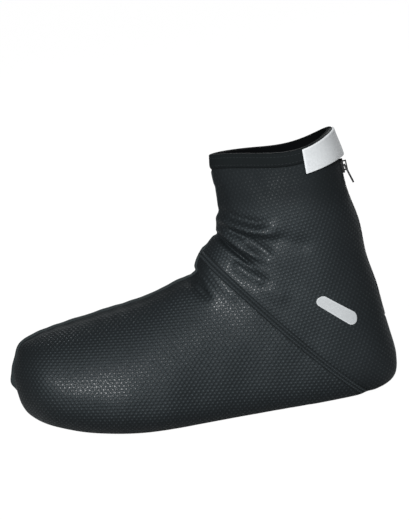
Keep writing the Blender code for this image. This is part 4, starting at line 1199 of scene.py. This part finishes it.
@dataclass
class SolePanel:
    """Sole panel with its openings, its stitches and the tapes over its joint inside the shoe."""

    shell: Shell
    threads: ThreadTree
    rows: int = 200
    columns: int = 61
    cleat: tuple[float, float] = (0.062, 0.044)
    cleat_from_nose: float = 0.1095
    heel: tuple[float, float] = (0.038, 0.032)
    heel_from_back: float = 0.0528
    corner: float = 0.013
    border: float = 0.0032
    row_gap: float = 0.0022
    end_width: float = 0.004
    opening_row: float = 0.0024
    opening_clear: float = 0.0036
    tape_reach: float = 0.0045
    tape_thickness: float = 0.0005

    def outline(self) -> tuple[Grid, Grid]:
        """Places and half widths of the panel's edge, a clearance inside the shell's opening."""
        turn = np.linspace(0.0, math.pi, self.rows)
        front, back = self.shell.panel_front, self.shell.panel_back
        gap = self.shell.sizes.seat_gap
        x = 0.5 * (front + back) - (0.5 * (back - front) - gap) * np.cos(turn)
        places = np.array([self.shell.place_at_sole(float(v)) for v in x])
        widths = np.array([self.shell.opening_width(float(p)) for p in places])
        return places, np.maximum(widths - gap, 0.0)

    def opening(self, size: tuple[float, float], x: float, margin: float) -> Grid:
        """Closed ring of points along an opening's rounded edge, grown by a margin."""
        radius = self.corner + margin
        half = (0.5 * size[0] + margin - radius, 0.5 * size[1] + margin - radius)
        place = self.shell.place_at_sole(x)
        lean = float(self.shell.section(np.array(place))[9]) - self.shell.sizes.centre_y
        turns = np.linspace(0.0, 2.0 * math.pi, 97)[:-1]
        ring = []
        for turn in turns:
            cx = math.copysign(half[0], math.cos(turn))
            cy = math.copysign(half[1], math.sin(turn))
            ring.append((x + cx + radius * math.cos(turn), lean + cy + radius * math.sin(turn)))
        return np.array(ring)

    def cut(self, obj: bpy.types.Object, ring: Grid) -> None:
        """Cut an upright hole along a ring of points."""
        count = len(ring)
        low = [(px, py, -0.01) for px, py in ring]
        high = [(px, py, 0.012) for px, py in ring]
        faces = [tuple(range(count))[::-1], tuple(range(count, 2 * count))]
        faces += [(k, (k + 1) % count, (k + 1) % count + count, k + count) for k in range(count)]
        tool = new_object("opening_tool", low + high, faces)
        modifier = obj.modifiers.new("cut", "BOOLEAN")
        modifier.operation = "DIFFERENCE"
        modifier.solver = "EXACT"
        modifier.object = tool
        settle(obj)
        bpy.data.objects.remove(tool)

    def build(self) -> None:
        """Build the panel, its stitches and its inner tapes."""
        places, widths = self.outline()
        outer, inner = [], []
        for place, width in zip(places, widths):
            outer.append(self.shell.share_at_width(float(place), False, float(width)) if width > 0 else 1.0)
            inner.append(self.shell.share_at_width(float(place), True, float(width)) if width > 0 else 1.0)
        step = np.linspace(-1.0, 1.0, self.columns)
        share = np.where(step[None, :] < 0.0, -1.0 + (1.0 - np.array(outer))[:, None] * -step[None, :],
                         1.0 - (1.0 - np.array(inner))[:, None] * step[None, :])
        place = np.broadcast_to(places[:, None], share.shape)
        top = self.shell.skin(place, share)
        bottom = self.shell.skin(place, share, -self.shell.sizes.sole_wall)
        obj = closed_strip("sole_panel_cloth", top, bottom)
        openings = ((self.cleat, self.shell.nose_x + self.cleat_from_nose),
                    (self.heel, self.shell.heel_x - self.heel_from_back))
        for size, x in openings:
            self.cut(obj, self.opening(size, x, 0.0))
        shade(obj, 50.0)
        finish(obj, Finish.SOLE, ["sole_panel"])
        self.build_stitches(places, widths, openings)
        self.build_inner_tape(places, widths)

    def on_sole(self, points: Grid) -> tuple[Grid, Grid]:
        """Points of the sole's face under flat points, and the outward normals there."""
        lean = self.shell.sizes.centre_y
        place = np.array([self.shell.place_at_sole(float(x)) for x in points[:, 0]])
        middle = self.shell.section(place)[:, 9] - lean
        share = np.zeros(len(points))
        for k, (at, y) in enumerate(zip(place, points[:, 1] - middle)):
            share[k] = math.copysign(self.shell.share_at_width(float(at), y > 0, abs(float(y))), y)
        return self.shell.skin(place, share), self.shell.normal(place, share)

    def build_stitches(self, places: Grid, widths: Grid, openings: Sequence) -> None:
        """Stitches along the panel's border, broken at the openings, and round each opening."""
        flat = []
        for side in (-1.0, 1.0):
            for inset in (self.border, self.border + self.row_gap):
                keep = widths > inset + self.end_width
                x = self.shell.section(places[keep])[:, 2]
                middle = self.shell.section(places[keep])[:, 9] - self.shell.sizes.centre_y
                line = np.column_stack((x, middle + side * (widths[keep] - inset)))
                clear = np.ones(len(line), bool)
                for size, centre in openings:
                    margin = 0.5 * np.array(size) + self.opening_clear
                    away = np.abs(line - np.array((centre, 0.0)))
                    clear &= (away[:, 0] > margin[0]) | (away[:, 1] > margin[1])
                cuts = np.flatnonzero(np.diff(clear.astype(int))) + 1
                flat += [part for part, kept in zip(np.split(line, cuts), np.split(clear, cuts))
                         if kept[0] and len(part) > 5]
        for size, centre in openings:
            ring = self.opening(size, centre, self.opening_row)
            flat.append(np.vstack((ring, ring[:1])))
        lines = []
        for line in flat:
            points, up = self.on_sole(line)
            lines.append((points - up * 0.0002, up))
        self.threads.sew("sole_stitches", lines, Finish.DARK_THREAD, pitch=0.0028, length=0.0021,
                         width=0.0006, height=0.0005)

    def build_inner_tape(self, places: Grid, widths: Grid) -> None:
        """Tape inside the shoe that covers the joint between the sole panel and the upper."""
        reach = np.linspace(-self.tape_reach, self.tape_reach, 5)
        for name, inner in (("sole_tape_outer", False), ("sole_tape_inner", True)):
            share = np.ones((len(places), len(reach)))
            for k, (place, width) in enumerate(zip(places, widths)):
                for m, over in enumerate(reach):
                    if width + over > 0.0:
                        share[k, m] = self.shell.share_at_width(float(place), inner, float(width + over))
            signed = share if inner else -share
            place = np.broadcast_to(places[:, None], share.shape)
            low = -self.shell.sizes.sole_wall - 0.0002
            top = self.shell.skin(place, signed, low)
            bottom = self.shell.skin(place, signed, low - self.tape_thickness)
            finish(closed_strip(name, top, bottom), Finish.LINING)


@dataclass
class Patches:
    """Closure tab at the back of the collar and the plain bar at the heel."""

    shell: Shell
    tab_reach: float = 0.026
    tab_front: float = 0.0185
    tab_back: float = 0.0215
    tab_thickness: float = 0.0012
    tab_lift: float = 0.0014
    tab_flare: float = 0.0018
    tab_corner: float = 0.0007
    bar_length: float = 0.034
    bar_width: float = 0.009
    bar_thickness: float = 0.0004
    bar_height: float = 0.068
    bar_from_back: float = 0.0388

    @staticmethod
    def rounded(length: float, width: float, corner: float, rows: int, columns: int) -> tuple:
        """Even grid over a rectangle with round corners.

        Returns:
            Lengthwise and crosswise positions, and each point's distance from the edge.
        """
        turns = np.linspace(0.0, math.pi / 2, 8)
        reach = 0.5 * length - corner
        ends = reach + corner * np.sin(turns)
        middle = np.linspace(-reach, reach, rows)[1:-1]
        along = np.concatenate((-ends[::-1], middle, ends))
        over = np.maximum(np.abs(along) - reach, 0.0)
        half = 0.5 * width - corner + np.sqrt(np.maximum(corner**2 - over**2, 0.0))
        across = half[:, None] * np.sin(0.5 * math.pi * np.linspace(-1.0, 1.0, columns))[None, :]
        inside = np.minimum(half[:, None] - np.abs(across), 0.5 * length - np.abs(along)[:, None])
        return np.broadcast_to(along[:, None], across.shape), across, inside

    def build_tab(self) -> None:
        """Grey tab that wraps the back of the collar over the top of the zip."""
        shares = np.linspace(0.35, 1.0, 400)
        lengths = []
        for inner in (False, True):
            line = self.shell.skin(np.full(400, LAST), shares if inner else -shares, self.tab_lift)
            front = line[-1, 0] - self.tab_reach
            keep = line[:, 0] >= front
            arc = arc_lengths(line[::-1])
            lengths.append((arc, shares[::-1], arc[int(keep.sum()) - 1]))
        total = lengths[0][2] + lengths[1][2]
        along, across, inside = self.rounded(total, self.tab_back, self.tab_corner, 90, 19)
        signed = along + 0.5 * (lengths[0][2] - lengths[1][2])
        share = np.where(signed < 0.0, -np.interp(-signed, lengths[0][0], lengths[0][1]),
                         np.interp(signed, lengths[1][0], lengths[1][1]))
        toward_back = 1.0 - np.abs(along) / (0.5 * total)
        height = self.tab_front + smooth(toward_back) * (self.tab_back - self.tab_front)
        depth = (0.5 - across / self.tab_back) * height
        place = self.shell.depth_place(share, np.maximum(depth, 0.0))
        ease = smooth(inside / 0.0006)
        lift = self.tab_lift + self.tab_flare * smooth(toward_back) * smooth(depth / height)
        top = self.shell.skin(place, share, lift + self.tab_thickness * (0.72 + 0.28 * ease))
        bottom = self.shell.skin(place, share, lift)
        up = np.maximum(-depth, 0.0)[..., None] * UPWARD
        border = 1.0 - smooth((inside - 0.0006) / 0.0005)
        obj = closed_strip("closure_tab_film", top + up, bottom + up, border)
        finish(obj, Finish.FILM, ["closure_tab"])

    def build_bar(self) -> None:
        """Plain reflective bar with round ends on the outer side of the heel."""
        shares = np.linspace(0.3, 1.0, 141)
        places = np.linspace(SEAM, LAST, 541)
        grid = self.shell.base(places[None, :], -shares[:, None])
        aim = np.array([self.shell.heel_x - self.bar_from_back, self.bar_height])
        away = np.linalg.norm(grid[..., [0, 2]] - aim, axis=-1)
        k, m = np.unravel_index(int(np.argmin(away)), away.shape)
        share, place = float(shares[k]), float(places[m])
        along, across, inside = self.rounded(self.bar_length, self.bar_width, 0.499 * self.bar_width, 40, 15)
        step = Shell.SLOPE
        here, row = np.array(-share), np.array(place)
        upward = self.shell.per_row(row, here)
        round_it = (self.shell.base(row, here - step) - self.shell.base(row, here + step)) / (2.0 * step)
        rate, stretch = np.linalg.norm(round_it), np.linalg.norm(upward)
        cosine = float(upward @ round_it) / (rate * stretch)
        sine = math.sqrt(1.0 - cosine**2)
        at_place = place + across / (stretch * sine)
        at_share = -(share + (along - across * cosine / sine) / rate)
        rise = 0.0003 + self.bar_thickness * (0.4 + 0.6 * smooth(inside / 0.0004))
        top = self.shell.skin(at_place, at_share, rise)
        bottom = self.shell.skin(at_place, at_share, 0.0001)
        obj = closed_strip("heel_reflector_bar", top, bottom, 1.0 - smooth((inside - 0.0004) / 0.0004))
        finish(obj, Finish.BAR_FILM, ["heel_reflector"])

    def build(self) -> None:
        """Build the tab and the bar."""
        self.build_tab()
        self.build_bar()


@dataclass
class Zip:
    """Back zip: woven tape, coil, slider and pull."""

    shell: Shell
    threads: ThreadTree
    tape_gap: float = 0.0007
    tape_depth: float = 0.0018
    tape_thickness: float = 0.0008
    coil_start: float = 0.0018
    coil_width: float = 0.0042
    coil_pitch: float = 0.00105
    coil_offset: float = 0.27
    cord_offset: float = 0.47
    slider_drop: float = 0.024
    slider_length: float = 0.0105

    def centre(self, low: float, high: float, count: int) -> tuple[Grid, Grid]:
        """Points and normals down the back centre line."""
        places = np.linspace(self.shell.place_at_back(low), self.shell.place_at_back(high), count)
        ones = np.ones(count)
        return self.shell.skin(places, ones), self.shell.normal(places, ones)

    def build_tape(self) -> None:
        """Tape behind the coil, thicker at its two sewn edges."""
        foot = self.shell.sizes.zip_foot + self.shell.sizes.slot_end + self.shell.sizes.seat_gap
        centre, normal = self.centre(foot, self.shell.sizes.collar_back - 0.0003, 160)
        half = 0.5 * self.shell.sizes.zip_slot - self.tape_gap
        across = np.linspace(-1.0, 1.0, 25)
        face = self.tape_thickness - self.tape_depth
        ribs = 0.00008 * np.cos(across * 9.0 * math.pi) - 0.00025 * (np.abs(across) > 0.93)
        spread = centre[:, None] + across[None, :, None] * half * SIDEWAYS
        top = spread + normal[:, None] * (face + ribs)[None, :, None]
        bottom = spread - normal[:, None] * self.tape_depth
        finish(closed_strip("zip_tape_cloth", top, bottom), Finish.TAPE, ["zip_tape"])

    def build_coil(self) -> None:
        """Two rows of coil links that mesh down the middle, up to the slider."""
        sizes = self.shell.sizes
        foot = sizes.zip_foot + sizes.slot_end + sizes.seat_gap + self.coil_start
        top = sizes.collar_back - self.slider_drop - 0.5 * self.slider_length
        centre, normal = self.centre(foot, top, 240)
        lift = self.tape_thickness - self.tape_depth + 0.00085
        rows = []
        for side, shift in ((-1.0, 0), (1.0, 1)):
            line = centre + SIDEWAYS * side * self.coil_offset * self.coil_width + normal * lift
            rows.append((line[shift:], normal[shift:]))
        self.threads.sew("zip_coil_links", rows, Finish.COIL, ["zip_coil"], pitch=self.coil_pitch,
                         length=0.00072, width=0.5 * self.coil_width, height=0.00105, turn=math.radians(14.0))
        low = normal * (lift - 0.0002)
        rows = [(centre + SIDEWAYS * side * self.cord_offset * self.coil_width + low, normal)
                for side in (-1.0, 1.0)]
        self.threads.sew("zip_coil_threads", rows, Finish.TAPE, pitch=0.0016, length=0.0015, width=0.0004,
                         height=0.0004)

    def build_hardware(self) -> None:
        """Slider and pull from their solids, with rounded edges."""
        for node, name, body, bevel, paint in (
                ("zip_slider", "zip_slider_body", Body.SHOE, 0.00022, 0.00008),
                ("zip_pull", "zip_pull_tab", Body.PULL, 0.00040, 0.00020)):
            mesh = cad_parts[node].data.copy()
            mesh.materials.clear()
            obj = link(name, mesh)
            tidy(obj, 1e-5)
            coat = obj.modifiers.new("paint", "DISPLACE")
            coat.strength = paint
            coat.mid_level = 0.0
            cut = obj.modifiers.new("rounding", "BEVEL")
            cut.width = bevel
            cut.segments = 3
            cut.limit_method = "ANGLE"
            cut.angle_limit = math.radians(35.0)
            settle(obj)
            shade(obj, 40.0)
            finish(obj, Finish.METAL, [node], body)

    def build(self) -> None:
        """Build the whole zip."""
        self.build_tape()
        self.build_coil()
        self.build_hardware()


# Soft boxes: name, place, size, watts and tint.
LIGHTS = (
    ("key", (-0.72, -2.46, 0.94), (0.80, 0.6), 64.0, (0.98, 0.99, 1.0)),
    ("front", (0.9, -2.3, 1.5), (1.2, 0.8), 16.0, (0.98, 0.99, 1.0)),
    ("back", (0.9, 1.8, 1.6), (0.9, 0.9), 45.0, (1.0, 1.0, 1.0)),
)
WHITE = (1.0, 1.0, 1.0, 1.0)


@dataclass
class Studio:
    """Camera, soft lights and a plain pale floor."""

    elevation: float = math.radians(7.5)
    aim: tuple[float, float, float] = (0.0145, 0.0, 0.1179)
    distance: float = 4.0
    frame_height: float = 0.3898
    roll: tuple[float, float] = (0.986, 0.1668)
    floor_size: float = 16.0
    floor_drop: float = 0.0003
    floor_grey: float = 0.45
    floor_glow: float = 1.08
    floor_matte: float = 0.08
    world_light: float = 0.10

    def build_camera(self) -> None:
        """Long lens at the photograph's angle, rolled as it is."""
        up_level = Vector((0.0, math.sin(self.elevation), math.cos(self.elevation)))
        side = Vector((1.0, 0.0, 0.0))
        back = Vector((0.0, -math.cos(self.elevation), math.sin(self.elevation)))
        right = side * self.roll[0] - up_level * self.roll[1]
        up = side * self.roll[1] + up_level * self.roll[0]
        data = bpy.data.cameras.new("camera")
        data.sensor_width = 36.0
        data.lens = data.sensor_width * self.distance / self.frame_height
        data.clip_end = 60.0
        camera = link("camera", data)
        rotation = Matrix((right.normalized(), up.normalized(), back)).transposed().to_4x4()
        camera.matrix_world = Matrix.Translation(Vector(self.aim) + back * self.distance) @ rotation
        bpy.context.scene.camera = camera

    def add_light(self, name: str, place: tuple, size: tuple, power: float, tint: tuple) -> None:
        """Add a soft box that faces the shoe."""
        data = bpy.data.lights.new(name, "AREA")
        data.shape = "RECTANGLE"
        data.size, data.size_y = size
        data.energy = power
        data.color = tint
        light = link(name, data)
        light.location = place
        toward = Vector(self.aim) - Vector(place)
        light.rotation_euler = toward.to_track_quat("-Z", "Y").to_euler()
        light.visible_camera = False

    def build_floor(self) -> None:
        """Pale floor that stays even and bright."""
        half = 0.5 * self.floor_size
        corners = [(x * half, y * half, -self.floor_drop) for x, y in ((-1, -1), (1, -1), (1, 1), (-1, 1))]
        floor = new_object("floor", corners, [(0, 1, 2, 3)])
        made = bpy.data.materials.new("floor_white")
        made.use_nodes = True
        made.node_tree.nodes.clear()
        g = Graph(made.node_tree)
        matte = g.add("ShaderNodeBsdfDiffuse", {"Color": (*(self.floor_grey,) * 3, 1.0)})
        glow = g.add("ShaderNodeEmission", {"Color": WHITE, "Strength": self.floor_glow})
        seen = g.add("ShaderNodeLightPath").outputs["Is Camera Ray"]
        shine = g.add("ShaderNodeMixShader", {0: self.floor_matte, 1: glow.outputs[0], 2: matte.outputs[0]})
        dim = g.add("ShaderNodeMixShader", {0: seen, 1: matte.outputs[0], 2: shine.outputs[0]})
        clear = g.add("ShaderNodeBsdfTransparent")
        behind = g.add("ShaderNodeNewGeometry").outputs["Backfacing"]
        both = g.add("ShaderNodeMixShader", {0: behind, 1: dim.outputs[0], 2: clear.outputs[0]})
        out = g.add("ShaderNodeOutputMaterial")
        g.put(out.inputs["Surface"], both.outputs[0])
        floor.data.materials.append(made)

    def build_world(self) -> None:
        """Even white surroundings to the camera, dimmer as light."""
        world = bpy.data.worlds.new("studio")
        bpy.context.scene.world = world
        world.use_nodes = True
        g = Graph(world.node_tree)
        background = world.node_tree.nodes["Background"]
        seen = g.add("ShaderNodeLightPath").outputs["Is Camera Ray"]
        g.put(background.inputs["Strength"], g.ease(seen, 0.0, 1.0, self.world_light, 1.0))
        background.inputs["Color"].default_value = WHITE

    def build(self) -> None:
        """Build the studio."""
        bpy.context.scene.view_settings.view_transform = "Standard"
        self.build_camera()
        for light in LIGHTS:
            self.add_light(*light)
        self.build_floor()
        self.build_world()


def main() -> None:
    """Build the studio and every sub-assembly."""
    logging.basicConfig(level=logging.INFO, format="%(name)s %(message)s")
    Studio().build()
    shell = Shell(ShoeSizes())
    threads = ThreadTree()
    Upper(shell).build()
    Seams(shell, threads).build()
    SolePanel(shell, threads).build()
    Patches(shell).build()
    Zip(shell, threads).build()


if __name__ == "__main__":
    main()
